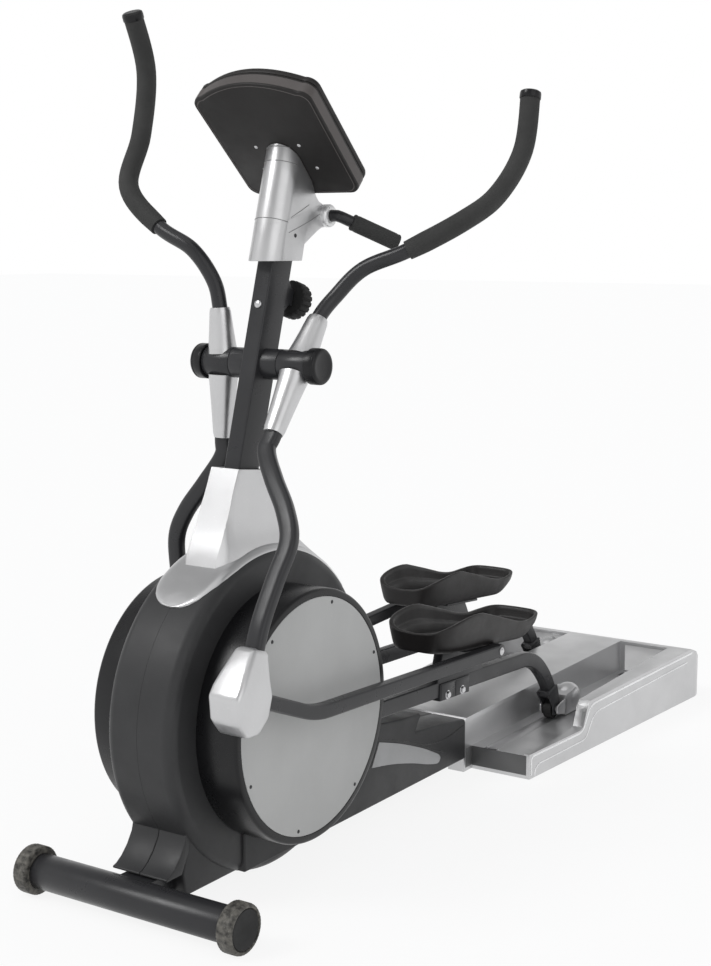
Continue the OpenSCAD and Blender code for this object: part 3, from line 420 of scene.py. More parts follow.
looks = {
    "dark_steel": {"colour": (0.026, 0.026, 0.028), "rough": (0.27, 0.36), "grain": 700, "bump": 0.05,
                   "plain": {"Specular IOR Level": 0.35}},
    "black_plastic": {"colour": (0.036, 0.036, 0.037), "rough": (0.4, 0.52), "grain": 1300, "bump": 0.14,
                      "spread": 0.1, "plain": {"Specular IOR Level": 0.3}},
    "gloss_black": {"colour": (0.008, 0.008, 0.009), "rough": (0.26, 0.36), "grain": 900, "bump": 0.04,
                    "plain": {"Specular IOR Level": 0.3}},
    "silver_plastic": {"colour": (0.6, 0.6, 0.605), "rough": (0.3, 0.4), "grain": 2600, "bump": 0.05,
                       "spread": 0.03, "plain": {"Metallic": 0.85}},
    "disc_grey": {"colour": (0.5, 0.5, 0.49), "rough": (0.48, 0.58), "grain": 1600, "bump": 0.06,
                  "spread": 0.03},
    "foam": {"colour": (0.034, 0.034, 0.033), "rough": (0.72, 0.86), "grain": 1500, "bump": 0.5,
             "depth": 0.0006},
    "rubber_black": {"colour": (0.016, 0.016, 0.016), "rough": (0.55, 0.7), "grain": 800, "bump": 0.3,
                     "plain": {"Specular IOR Level": 0.3}},
    "cap_grey": {"colour": (0.085, 0.08, 0.07), "rough": (0.5, 0.75), "grain": 420, "bump": 0.6, "mottle": 95,
                 "spread": 0.8, "dust": (0.3, 0.29, 0.27), "specks": 0.5},
    "console_brown": {"colour": (0.011, 0.0095, 0.009), "rough": (0.42, 0.54), "grain": 1500, "bump": 0.2,
                      "plain": {"Specular IOR Level": 0.35}},
    "bright_steel": {"colour": (0.6, 0.6, 0.61), "rough": (0.22, 0.34), "grain": 600, "bump": 0.05,
                     "plain": {"Metallic": 1.0}},
    "bare_aluminium": {"colour": (0.62, 0.62, 0.63), "rough": (0.34, 0.46), "grain": 900, "bump": 0.08,
                       "plain": {"Metallic": 1.0}},
    "bronze_bush": {"colour": (0.42, 0.3, 0.16), "rough": (0.4, 0.5), "grain": 1200, "bump": 0.1,
                    "plain": {"Metallic": 1.0}},
    "iron": {"colour": (0.22, 0.22, 0.23), "rough": (0.42, 0.58), "grain": 500, "bump": 0.25,
             "plain": {"Metallic": 0.9}},
    "pedal_plastic": {"colour": (0.014, 0.0125, 0.0125), "rough": (0.4, 0.52), "grain": 1200, "bump": 0.25,
                      "plain": {"Specular IOR Level": 0.35}},
    # pale silver for the bar collars, and painted highlight for the lines along the deck's sides
    "pale_silver_and_painted_highlight": {"colour": (0.92, 0.92, 0.92), "rough": (0.25, 0.35), "grain": 900, "bump": 0.05,
                    "plain": {"Metallic": 0.5}},
    "insert_grey": {"colour": (0.42, 0.42, 0.42), "rough": (0.36, 0.46), "grain": 1600, "bump": 0.05},
    # painted shade: the dark grey of the deck's front-wall plates
    "painted_shade_grey": {"colour": (0.13, 0.13, 0.13), "rough": (0.4, 0.5), "grain": 1600, "bump": 0.06,
                   "spread": 0.03},
    "seam_grey": {"colour": (0.2, 0.2, 0.2), "rough": (0.4, 0.5), "grain": 900, "bump": 0.05},
    # painted reflection: the paler colour of the console's rim
    "console_rim_painted_reflection": {"colour": (0.085, 0.075, 0.072), "rough": (0.4, 0.5), "grain": 1500, "bump": 0.1},
    "dark_screw": {"colour": (0.05, 0.05, 0.052), "rough": (0.3, 0.4), "grain": 600, "bump": 0.05,
                   "plain": {"Metallic": 0.8}},
    "screen_panel": {"colour": (0.1, 0.12, 0.11), "rough": (0.12, 0.2), "grain": 300, "bump": 0.0},
    "screen": {"colour": (0.16, 0.19, 0.175), "rough": (0.06, 0.12), "grain": 300, "bump": 0.0,
               "spread": 0.03, "plain": {"Coat Weight": 0.8, "Coat Roughness": 0.04}},
    "green_button": {"colour": (0.04, 0.3, 0.09), "rough": (0.3, 0.4), "grain": 900, "bump": 0.05},
    "red_button": {"colour": (0.45, 0.035, 0.035), "rough": (0.3, 0.4), "grain": 900, "bump": 0.05},
    "grey_button": {"colour": (0.42, 0.42, 0.43), "rough": (0.32, 0.42), "grain": 900, "bump": 0.05},
}
finishes = {name: makeFinish(name, look) for name, look in looks.items()}
for row in frame["record"]["subparts"]:
    node = frame["nodes"][row["node"]]
    node.data.materials.clear()
    node.data.materials.append(finishes[row["material_slot"]])
print("finishes made:", len(finishes))


def bothSides(shape):
    return joined(shape, moved(shape, Matrix.Diagonal((-1, 1, 1, 1))))


# stage: camera, pale floor, studio sky and three soft lamps
stage = {
    "lens": 61.44, "sensor": 36, "eye": (2.0684, -2.3090, 1.3297), "look": (81.47, 0, 33.77),
    "floorHalf": 40, "floorColour": 0.9, "floorShare": 0.88,  # share of plain white in what the camera sees
    "skyColour": (0.95, 0.97, 1, 1), "skyStrength": 0.5, "glow": (0.08, 0.7, 1.0, 0.35),
    "lamps": (("key", (46, 0, -38), 1.1, 22), ("fill", (60, 0, 62), 0.4, 50), ("top", (8, 0, 0), 0.3, 50)),
}


def mixInto(tree, share, first, second, output):
    mix = tree.nodes.new("ShaderNodeMixShader")
    for socket, source in zip(mix.inputs, (share, first.outputs[0], second.outputs[0])):
        tree.links.new(source, socket)
    tree.links.new(mix.outputs[0], tree.nodes[output].inputs["Surface"])


def buildCamera():
    eye = bpy.data.cameras.new("camera")
    eye.lens = stage["lens"]
    eye.sensor_width = stage["sensor"]
    view = bpy.data.objects.new("camera", eye)
    x, y, z = stage["eye"]
    view.location = (x, frontY * mm + y, z)
    view.rotation_euler = [math.radians(a) for a in stage["look"]]
    scene.collection.objects.link(view)
    scene.camera = view
    scene.view_settings.view_transform = "Standard"


def buildFloor():
    r = stage["floorHalf"]
    floorMesh = bpy.data.meshes.new("floor")
    floorMesh.from_pydata([(-r, -r, 0), (r, -r, 0), (r, r, 0), (-r, r, 0)], [], [(0, 1, 2, 3)])
    floor = bpy.data.objects.new("floor", floorMesh)
    scene.collection.objects.link(floor)
    pale = bpy.data.materials.new("floor")
    pale.use_nodes = True
    tree = pale.node_tree
    shader = tree.nodes["Principled BSDF"]
    shader.inputs["Base Color"].default_value = (*[stage["floorColour"]] * 3, 1)
    shader.inputs["Roughness"].default_value = 0.8
    shader.inputs["Specular IOR Level"].default_value = 0.0
    white = addNode(tree, "ShaderNodeEmission", {"Color": (1, 1, 1, 1), "Strength": 1})
    path = addNode(tree, "ShaderNodeLightPath")
    seen = maths(tree, "MAXIMUM", path.outputs["Is Camera Ray"], path.outputs["Is Glossy Ray"])
    mixInto(tree, maths(tree, "MULTIPLY", seen, stage["floorShare"]), shader, white, "Material Output")
    floorMesh.materials.append(pale)


def buildSky():
    world = bpy.data.worlds.new("studio")
    scene.world = world
    world.use_nodes = True
    tree = world.node_tree
    soft = tree.nodes["Background"]
    soft.inputs["Color"].default_value = stage["skyColour"]
    soft.inputs["Strength"].default_value = stage["skyStrength"]
    white = addNode(tree, "ShaderNodeBackground", {"Color": (1, 1, 1, 1)})
    path = addNode(tree, "ShaderNodeLightPath")
    place = addNode(tree, "ShaderNodeTexCoord").outputs["Generated"]
    height = addNode(tree, "ShaderNodeSeparateXYZ", Vector=place).outputs["Z"]
    glow = ranged(tree, height, *stage["glow"])  # what gloss reflects: white low down, dimmer overhead
    tree.links.new(maths(tree, "MAXIMUM", glow, path.outputs["Is Camera Ray"]), white.inputs["Strength"])
    seen = maths(tree, "MAXIMUM", path.outputs["Is Camera Ray"], path.outputs["Is Glossy Ray"])
    seen = maths(tree, "MAXIMUM", seen, path.outputs["Is Transmission Ray"])
    mixInto(tree, seen, soft, white, "World Output")


def buildLamps():
    for label, turn, strength, soft in stage["lamps"]:
        lamp = bpy.data.lights.new(label, "SUN")
        lamp.energy = strength
        lamp.angle = math.radians(soft)
        light = bpy.data.objects.new(label, lamp)
        light.rotation_euler = [math.radians(a) for a in turn]
        scene.collection.objects.link(light)


# front foot: a tube with a ribbed cap on each end
foot = {"tubeRadius": 36, "tubeHalf": 244, "capRadius": 50, "height": 50, "ribs": 40}


def buildFoot():
    half, r = foot["tubeHalf"] - 0.3, foot["capRadius"]
    beam = rod(foot["tubeRadius"], -half, half, 0, foot["height"], 1, 96)
    dress("footTube", beam, machine, "frame", "dark_steel", "front_stabilizer")
    ring = across([(244, 36.4), (244, r - 5), (245, r - 2.2), (248, r), (252, r - 0.2), (254, r), (272, r),
                   (276, r - 1), (279, r - 3.5), (280, r - 6), (279.5, r - 8), (276, r - 9.5), (276, 36.4)],
                  0, foot["height"], 240, closed=True, flutes=foot["ribs"], fluteDepth=0.5)
    dress("footCapRings", bothSides(ring), machine, "frame", "cap_grey", "stabilizer_caps")
    disc = across([(262, 39.8), (278, 39.8), (278.8, 39), (279, 37), (278.4, 30), (278.2, 4)],
                  0, foot["height"], 96)
    dress("footCapDiscs", bothSides(disc), machine, "frame", "rubber_black")


# centre housing: two shells with the toe in front and the fairing behind
housing = {"radius": 340, "half": 85, "round": 25, "wall": 4, "seam": 0.25, "toeHalf": 70, "fairingHalf": 92,
           "bearingHole": 36}


def rimProfile(grow):
    h = housing
    r = h["round"] + grow
    x, z = h["half"] - h["round"], h["radius"] - h["round"]
    corner = [(x + r * math.sin(a), z + r * math.cos(a)) for a in map(math.radians, range(0, 91, 6))]
    return [(h["seam"], h["radius"] + grow)] + corner


def buildHousing():
    h = housing
    outer = rimProfile(0) + [(h["half"], h["bearingHole"])]
    inner = [(h["half"] - h["wall"], h["bearingHole"])] + rimProfile(-h["wall"])[::-1]
    shell = across(outer + inner, crank.y, crank.z, 256, closed=True)
    toe = slab([(92, 262), (85, 215), (84, 172), (78, 149), (63, 125), (46, 107), (30, 96), (20, 93),
                (20.5, 88), (68, 88), (72, 96), (90, 130), (98, 175), (110, 262)], h["seam"], h["toeHalf"])
    cheek = slab([(70, 87), (79, 40), (300, 40), (300, 215), (110, 215)], h["seam"], h["toeHalf"])
    fairing = slab([(240, 40), (1140, 40), (1140, 136), (1134, 143), (1020, 158), (903, 169), (915, 186),
                    (928, 205), (922, 209), (840, 215), (760, 226), (690, 240), (640, 268), (600, 300),
                    (240, 240)], h["seam"], h["fairingHalf"])
    parts = (("Toe", toe, (7, 4)), ("Cheek", cheek, (5, 3)), ("Fairing", fairing, (6, 4)))
    for name in sides:
        place = sides[name]["still"]
        body = makePiece(name + "Housing", shell, place)
        for part, shape, edge in parts:
            dress(name + part, shape, place, "frame", "black_plastic", edge=edge)
        finishPiece(body, "frame", "black_plastic", name + "_housing_shell")
    lines = [smoothPath([(h["fairingHalf"] + 0.2, y, z) for y, z in route], 8)
             for route in ([(1128, 128), (1040, 118), (960, 124), (880, 150), (800, 176)],
                           [(735, 196), (820, 168), (905, 138), (985, 104), (1036, 84)])]
    beads = joined(*[sweep(line, 1.6, 3.2, 1, 8) for line in lines])
    dress("fairingLines", bothSides(beads), machine, "frame", "gloss_black")
    upper = [(743, 186, 0), (835, 158, 0), (927, 124, 0), (985, 98, 0), (1008, 86, 0), (1016, 76, 0)]
    lower = [(1010, 67, 0), (995, 66, 0), (950, 77, 0), (882, 98, 0), (795, 119, 0), (712, 133, 0)]
    crescent = smoothPath(upper, 5) + smoothPath(lower, 5)
    inserts = bothSides(slab([(p.x, p.y) for p in crescent], h["fairingHalf"] - 1, h["fairingHalf"] + 2))
    dress("fairingInserts", inserts, machine, "frame", "insert_grey", "fairing_inserts", edge=(1.2, 3))


# side drums and discs
drum = {"radius": 264, "wall": 5, "lip": 247.3, "outer": 184, "windowFrom": 44, "windowTo": -60,
        "windowReach": 300, "screwCircle": 236, "screws": (22, 75, 128, 202, 255, 308)}


def aroundCrank(r, degrees):
    a = math.radians(degrees)
    return crank.y + r * math.cos(a), crank.z + r * math.sin(a)


def buildDrums():
    d = drum
    r, x = d["radius"], d["outer"]
    profile = [(85.3, r), (x - 7, r), (x - 3.5, r - 1), (x - 1, r - 3), (x, r - 6), (x, d["lip"] + 1),
               (x - 1, d["lip"]), (177.3, d["lip"]), (177.3, 229), (172, 229), (172, r - d["wall"]),
               (85.3, r - d["wall"])]
    window = [(crank.y, crank.z), aroundCrank(d["windowReach"], d["windowFrom"]), (crank.y + 420, crank.z),
              aroundCrank(d["windowReach"], d["windowTo"])]
    fairing = slab([(238, 38), (1000, 38), (1000, 242), (690, 242), (600, 302), (238, 242)], 80, 92.3)
    for name in sides:
        place = sides[name]["still"]
        wall = makePiece(name + "Drum", across(profile, crank.y, crank.z, 240, closed=True), place)
        carve(wall, slab(window, 91, 166), fairing, place=place)
        finishPiece(wall, "frame", "gloss_black", *(["drum_guards"] if name == "left" else []))
    disc = across([(177.3, 3), (177.3, 246.4), (183.2, 246.8), (184, 245.6), (184, 3)], crank.y, crank.z, 240)
    dress("sideDiscs", bothSides(disc), machine, "frame", "disc_grey", "side_discs")
    head = [(184, 4), (184.6, 3.8), (185.3, 2.9), (185.5, 1.6), (185.0, 1.3), (184.7, 0.4)]
    heads = [across(head, *aroundCrank(d["screwCircle"], turn), 24) for turn in d["screws"]]
    dress("coverScrews", bothSides(joined(*heads)), machine, "frame", "dark_screw", "cover_screws")


# mast shroud, with the saddle strip that runs down the housing
shroud = {"rows": ((862, 306, 412, 38), (800, 280, 428, 39), (740, 254, 456, 47), (690, 230, 500, 64),
                   (640, 211, 560, 74), (600, 197, 600, 76)),  # height, front, rear and half width
          "tongue": ((126, 3), (127, 14), (129, 26), (135, 40), (146, 54), (162, 64), (184, 72), (210, 76),
                     (240, 78), (700, 78)),  # y and half width
          "thick": 4.3, "gap": 0.3, "from": 40, "to": 133.2, "length": 72, "across": 24}


def shroudLoop(row):
    z, front, rear, half = row
    f = min(half - 3, 38)
    b = 10 + 1.5 * (half - 38)
    flank = []
    for t in (0, 0.2, 0.4, 0.6, 0.8, 1):  # a quadratic curve round the front corner
        u, v, w = (1 - t) ** 2, 2 * t * (1 - t), t * t
        flank.append((u * f + v * (half - 1) + w * half,
                      u * front + v * (front + b * 0.45) + w * (front + b)))
    heel = [(half - 12 + 12 * math.cos(a), rear - 12 + 12 * math.sin(a))
            for a in map(math.radians, range(0, 91, 15))]
    run = [(0, front), (f * 0.5, front), *flank, (half, (front + b + rear) / 2), *heel, (half * 0.4, rear)]
    loop = run + [(-x, y) for x, y in reversed(run[1:])]
    return [(x, y, z - 0.12 * (y - 306) * (z - 600) / 262) for x, y in loop]


def rimHeight(x):
    flat = housing["half"] - housing["round"]
    over = max(0.0, abs(x) - flat)
    corner = housing["round"]
    return housing["radius"] - corner + math.sqrt(corner ** 2 - over ** 2)


def buildShroud():
    s = shroud
    rows = smoothPath([r[:3] for r in s["rows"]], 5)
    halves = smoothPath([(r[3], 0, 0) for r in s["rows"]], 5)
    skins = [shroudLoop((*row, half.x)) for row, half in zip(rows, halves)]
    tower = makePiece("mastShroud", rings(skins), sharp=24)
    carve(tower, rings([[(x * 0.9, y + (359 - y) * 0.08, z + 1) for x, y, z in skin] for skin in skins[:-9]]))
    roundEdges(tower, 1.5, 3, 75, 24)
    finishPiece(tower, "frame", "silver_plastic", "mast_shroud")
    loops = []
    for k in range(s["length"] + 1):
        turn = math.radians(s["to"] + (s["from"] - s["to"]) * (k / s["length"]) ** 1.6)
        y = crank.y + 343 * math.cos(turn)
        half = 3.0
        for (y0, w0), (y1, w1) in zip(s["tongue"], s["tongue"][1:]):
            if y0 <= y <= y1:
                half = w0 + (w1 - w0) * (y - y0) / (y1 - y0)
        top, under = [], []
        for m in range(s["across"] + 1):
            edge = 2 * m / s["across"] - 1
            low = rimHeight(half * edge) + s["gap"]
            for line, r in ((top, low + (s["thick"] - s["gap"]) * (1 - abs(edge) ** 10 * 0.8)), (under, low)):
                line.append((half * edge, crank.y + r * math.cos(turn), crank.z + r * math.sin(turn)))
        loops.append(top + under[::-1])
    finishPiece(makePiece("saddle", rings(loops), sharp=50), "frame", "silver_plastic")


# mast and pivot bar
mast = {"width": 40, "depth": 68, "edge": 3.5, "foot": -300, "top": 604, "bolt": 333}


def hexHead(r, height, washer=1.35):
    turns = [2 * math.pi * k / 6 for k in range(6)]
    head = rings([[(q * math.cos(a), q * math.sin(a), z) for a in turns]
                  for q, z in ((r, 1.5), (r, height - 1), (r * 0.88, height))])
    return joined(lathe([(0, r * washer), (1.2, r * washer), (1.6, r * washer - 0.5)], 32), head)


def buildMast():
    m = mast
    section = roundedBox(m["width"], m["depth"], m["edge"])
    post = rings([[(x, y, z) for x, y in section] for z in (m["foot"], m["top"])])
    dress("mastPost", post, mastFrame, "frame", "dark_steel", "mast_post")
    gusset = slab([(33, 329), (54, 353), (63, 353), (63, 389), (54, 389), (33, 413)], -14, 14)
    dress("knobGusset", gusset, mastFrame, "frame", "dark_steel", edge=(1.5,))
    outward = shift(0, -m["depth"] / 2, m["bolt"]) @ spun(90)
    dome = moved(lathe([(0, 9), (1.5, 9), (3.6, 7.6), (4.7, 5), (5, 1)], 40), outward)
    dress("mastBolt", dome, mastFrame, "frame", "bright_steel")
    y, z = pivot.y, pivot.z
    shaft = joined(rod(32, -61.4, 61.4, y, z, 1, 96), rod(19, -144, 144, y, z, 1, 48))
    dress("pivotBar", shaft, machine, "frame", "dark_steel", "pivot_bar")
    cap = across([(133.2, 20), (133.2, 36), (134.6, 37.5), (151, 37.5), (152, 36.9), (153, 37.5), (156, 37),
                  (158.6, 35), (159.8, 32), (160, 28), (159, 25), (159, 3)], y, z, 96)
    dress("pivotBarCaps", bothSides(cap), machine, "frame", "gloss_black", "pivot_bar_caps")


# swing arms with their grips, covers and boots
arm = {"hub": 97.25, "hubRadius": 32, "hubFrom": 62.2, "hubTo": 132.3, "handle": 32, "width": 38, "depth": 26,
       "grip": 43, "lowerX": 237, "length": 694}


def buildArms():
    a = arm
    rake = math.radians(linkage["armRake"])
    footY, footZ = -a["length"] * math.sin(rake), -a["length"] * math.cos(rake)
    x = a["hub"]
    top, low = (x + 5, 33, 109), (x + 4, -48, -153)
    handleRoute = [(x, 10, 30), top, (121, 53, 163), (170, 65, 226), (260, 80, 271), (355, 120, 347),
                   (370, 214, 436), (374, 281, 558), (372, 276, 683)]
    armRoute = [(x, -10, -30), low, (x + 6, -62, -192), (150, -84, -250), (205, -103, -312),
                (237, -118, -372), (237, -140, -450), (237, -162, -540), (237, footY - 4, footZ + 46)]
    handle = smoothPath(handleRoute, 10)
    lower = smoothPath(armRoute, 9)
    gripPath = handle[40:]
    cap = lathe([(-12, 21), (-12, 22.6), (-10.5, 23.2), (-1, 23.2), (3, 22.2), (5.2, 19), (6, 13), (5.4, 2)],
                64)
    cap = moved(cap, shift(*handle[-1]) @ facing(handle[-1] - handle[-2]))
    swells = [a["grip"] * (1 if k > 2 else 0.93 + 0.07 * k / 3) for k in range(len(gripPath))]
    cheek = slab([(footY - 22, footZ - 14), (footY + 22, footZ - 14), (footY + 18, footZ + 60),
                  (footY - 18, footZ + 60)], 215.5, 223.5)
    for name in sides:
        place, body = sides[name]["arm"], name + "_arm"
        steel = joined(sweep(handle, a["handle"], a["handle"], 1, 40),
                       sweep(lower, a["width"], a["depth"], 0.62, 40),
                       rod(a["hubRadius"], a["hubFrom"], a["hubTo"], 0, 0, 1.2, 96))
        dress(name + "SwingArm", steel, place, body, "dark_steel", name + "_swing_arm")
        dress(name + "Cheek", cheek, place, body, "dark_steel", edge=(2,))
        sleeves = []
        for tip, count in ((top, 12), (low, 14)):
            line = [Vector((x, 0, 0)).lerp(Vector(tip), 0.16 + 0.84 * k / count) for k in range(count + 1)]
            wide = [62 - 19 * (k / count) ** 0.8 for k in range(count + 1)]
            deep = [62 - 21 * (k / count) ** 0.75 for k in range(count + 1)]
            wide[-1] -= 3
            deep[-1] -= 3
            sleeves.append(sweep(line, wide, deep, 0.9, 64))
        dress(name + "ArmCovers", joined(*sleeves), place, body, "silver_plastic", name + "_arm_covers")
        buttons = [rod(3.4, x + 2, x + 24 + 5 * (1 - abs(z) / 150), y, z, 0.6, 20)
                   for y, z in ((20, 62), (30, 92), (-28, -92), (-40, -132))]
        dress(name + "CoverScrews", joined(*buttons), place, body, "gloss_black")
        dress(name + "Grip", sweep(gripPath, swells, swells, 1, 48), place, body, "foam", name + "_grip")
        dress(name + "GripCap", cap, place, body, "gloss_black")
        buildBoot(name, place, body, footY, footZ)


boot = {"half": 38, "wall": 4, "top": 23.3,
        "outline": ((-34, 92), (14, 92), (24, 40), (34, 10), (34, -32), (12, -66), (-20, -76), (-56, -52),
                    (-76, -8), (-58, 40))}


def bootBlock(inset):
    b = boot
    k = 1 - inset / 48
    half, top = b["half"] - inset, b["top"] - inset
    solid = makePiece("bootBlock", slab([(y * k, z * k) for y, z in b["outline"]], -half, half), Matrix())
    front = ((-half - 1, -100), (half + 1, -100), (half + 1, 8), (top, 93), (-top, 93), (-half - 1, 8))
    narrow = rings([[(x, y, z) for x, z in front] for y in (-120, 120)])
    return carve(solid, narrow, place=Matrix(), operation="INTERSECT")


def buildBoot(name, place, body, footY, footZ):
    at = place @ shift(arm["lowerX"], footY, footZ)
    shell, inside = bootBlock(0), bootBlock(boot["wall"])
    for piece in (shell, inside):
        piece.data.transform(at)
    shell.name = name + "JointBoot"
    roundEdges(shell, 11, 5, 20, 50)
    carve(shell, inside)
    carve(shell, block(-19, 19, 0, 60, -60, 46), block(-19.4, 19.4, -19, 15, 40, 120), place=at)
    finishPiece(shell, body, "silver_plastic", name + "_joint_boot")


# pedal tubes, from the swing arm's joint to the knuckle on the link
tube = {"height": 30, "thick": 26, "edge": 4, "bend": (225, -59), "length": 972}


def buildTubes():
    t = tube
    # the tube's inner and outer faces
    low, x = arm["lowerX"] - t["thick"] / 2, arm["lowerX"] + t["thick"] / 2
    bolt = across([(x, 9.4), (x + 1.4, 9.4), (x + 1.8, 8.8), (x + 2, 7), (x + 3.4, 6.6), (x + 4.6, 5),
                   (x + 5, 2)], t["length"], 0, 40)
    head = across([(x + 0.5, 15), (x + 5.6, 15), (x + 7.4, 13.4), (x + 8, 11), (x + 8, 8), (x + 6, 7),
                   (x + 6, 2)], 0, 0, 48)
    for name in sides:
        place, body = sides[name]["tube"], name + "_tube"
        route = filleted([(0, 0), t["bend"], (t["length"], 0)], 46, 8)
        beam = makePiece(name + "PedalTube", bar(route, t["height"], t["thick"], t["edge"], arm["lowerX"]),
                         place)
        carve(beam, *[across([(low, 17), (x, 17)], y, 0, 64) for y in (0, t["length"])], place=place,
              operation="UNION")
        carve(beam, rod(10.05, low - 27, x + 27, 0, 0, 0.1, 48), place=place)
        roundEdges(beam, 1, 2, 60)
        finishPiece(beam, body, "dark_steel", name + "_pedal_tube")
        dress(name + "KnuckleBolt", bolt, place, body, "bright_steel")
        dress(name + "JointPin", joined(head, rod(10, low - 10.5, x + 1, 0, 0, 1, 48)), place, body,
              "bright_steel", name + "_joint_pin")


# links, from the crank pin to the roller axle
link = {"x": 139, "thick": 26, "height": 38, "edge": 4, "length": 1392, "bolts": (-71, -3),
        "path": ((1050, 0), (244.6, 124.4), (179.8, 132), (119.3, 119.4), (62.8, 85.6), (23.4, 47.2))}
bendFrom, (bendEnd, bendHeight) = link["path"][0][0], link["path"][1]
link["slope"] = math.degrees(math.atan2(bendHeight, bendFrom - bendEnd))
knuckleFrame = shift(0, *linkage["knuckle"]) @ spun(link["slope"] - 3)
pedalRise = 10


def buildLinks():
    k = link
    x = k["x"]
    low, high = x - k["thick"] / 2, x + k["thick"] / 2
    bendAt = k["length"] - bendFrom
    route = [(0, 0)] + [(k["length"] - a, b) for a, b in k["path"]]
    tail = smoothPath([(y, z, 0) for y, z in route[2:]], 5)
    smoothRoute = filleted(route[:2] + [(tail[0].x, tail[0].y)], 60, 6)[:-1] + [(p.x, p.y) for p in tail]
    along, rise = linkage["knuckle"]
    drop = rise - (along - bendAt) * math.tan(math.radians(k["slope"])) - 4
    reach = (along - bendAt) / math.cos(math.radians(k["slope"]))
    clampFrame = shift(0, bendAt, 0) @ spun(k["slope"]) @ shift(0, reach, 0)
    axleAt = shift(0, k["length"], 0)
    cheek = [(-60, 40), (-12, 66), (8, 32), (20, 8), (14, -16), (-14, -16), (-22, 6)]
    riser = slab([(-120, -drop), (110, -drop), (58, -10), (40, pedalRise - 4), (-90, pedalRise - 4),
                  (-104, -8)], low + 1, high - 1)
    plate = block(87, 215, -110, 50, pedalRise - 6.3, pedalRise - 0.3)
    steelParts = (("Riser", moved(riser, knuckleFrame), (2,)),
                  ("PedalPlate", moved(plate, knuckleFrame), (1.5,)))
    pin = rod(8, x, arm["lowerX"] - tube["thick"] / 2 - 0.5, along, rise, 1)
    bridge = slab([(-58, 44), (-16, 66), (-24, 36), (-46, 30)], low - 4, high + 4)
    clamp = block(low - 4, high + 4, -103, 33, -k["height"] / 2 - 8, k["height"] / 2 - 4)
    lip = joined(*[block(high + 3.4, high + 5, a, b, -k["height"] / 2 - 6, k["height"] / 2 - 7)
                   for a, b in ((-100, -42), (-34, 30))])
    clampParts = (("ForkBridge", moved(bridge, axleAt), (2,)), ("Clamp", moved(clamp, clampFrame), (2.5, 4)),
                  ("ClampLip", moved(lip, clampFrame), (0.7, 2)))
    heads = [moved(hexHead(8.2, 6.2, 1.3), clampFrame @ shift(high + 4.2, y, -15) @ crossAxis)
             for y in k["bolts"]]
    for name in sides:
        place, body = sides[name]["link"], name + "_link"
        beam = makePiece(name + "Link", bar(smoothRoute, k["height"], k["thick"], k["edge"], x), place)
        carve(beam, across([(low + 0.6, 30), (high - 0.6, 30)], 0, 0, 96), place=place, operation="UNION")
        carve(beam, across([(low - 1, 30), (high + 1, 30)], k["length"], 0, 64), place=place)
        roundEdges(beam, 0.8, 2, 60)
        finishPiece(beam, body, "dark_steel", name + "_link")
        for part, shape, edge in steelParts:
            dress(name + part, shape, place, body, "dark_steel", edge=edge)
        dress(name + "KnucklePin", pin, place, body, "bright_steel")
        for i, a in enumerate((low - 5, high + 0.3)):
            prong = makePiece(name + "Cheek" + str(i), moved(slab(cheek, a, a + 4.7), axleAt), place)
            carve(prong, across([(x - 40, 8.1), (x + 40, 8.1)], k["length"], 0, 48), place=place)
            finishPiece(roundEdges(prong, 1.2), body, "dark_steel")
        for part, shape, edge in clampParts:
            dress(name + part, shape, place, body, "dark_steel", edge=edge)
        dress(name + "ClampBolts", joined(*heads), place, body, "bright_steel")


# pedals
pedal = {"x": 151, "half": 89, "length": 245, "square": 0.34, "floor": 8, "heel": 62,
         "rim": ((-250, 60), (-215, 68), (-180, 77), (-145, 84), (-100, 88), (-50, 83), (0, 71), (50, 60),
                 (100, 51), (150, 48), (200, 54), (250, 62))}


def rimOf(y):
    points = pedal["rim"]
    y = max(-249.9, min(249.9, y))
    i = max(k for k in range(len(points) - 1) if points[k][0] <= y)
    a, b, c, d = (points[max(0, min(len(points) - 1, k))][1] for k in range(i - 1, i + 3))
    t = (y - points[i][0]) / (points[i + 1][0] - points[i][0])
    return 0.5 * (2 * b + (c - a) * t + (2 * a - 5 * b + 4 * c - d) * t * t
                  + (3 * b - a - 3 * c + d) * t ** 3)


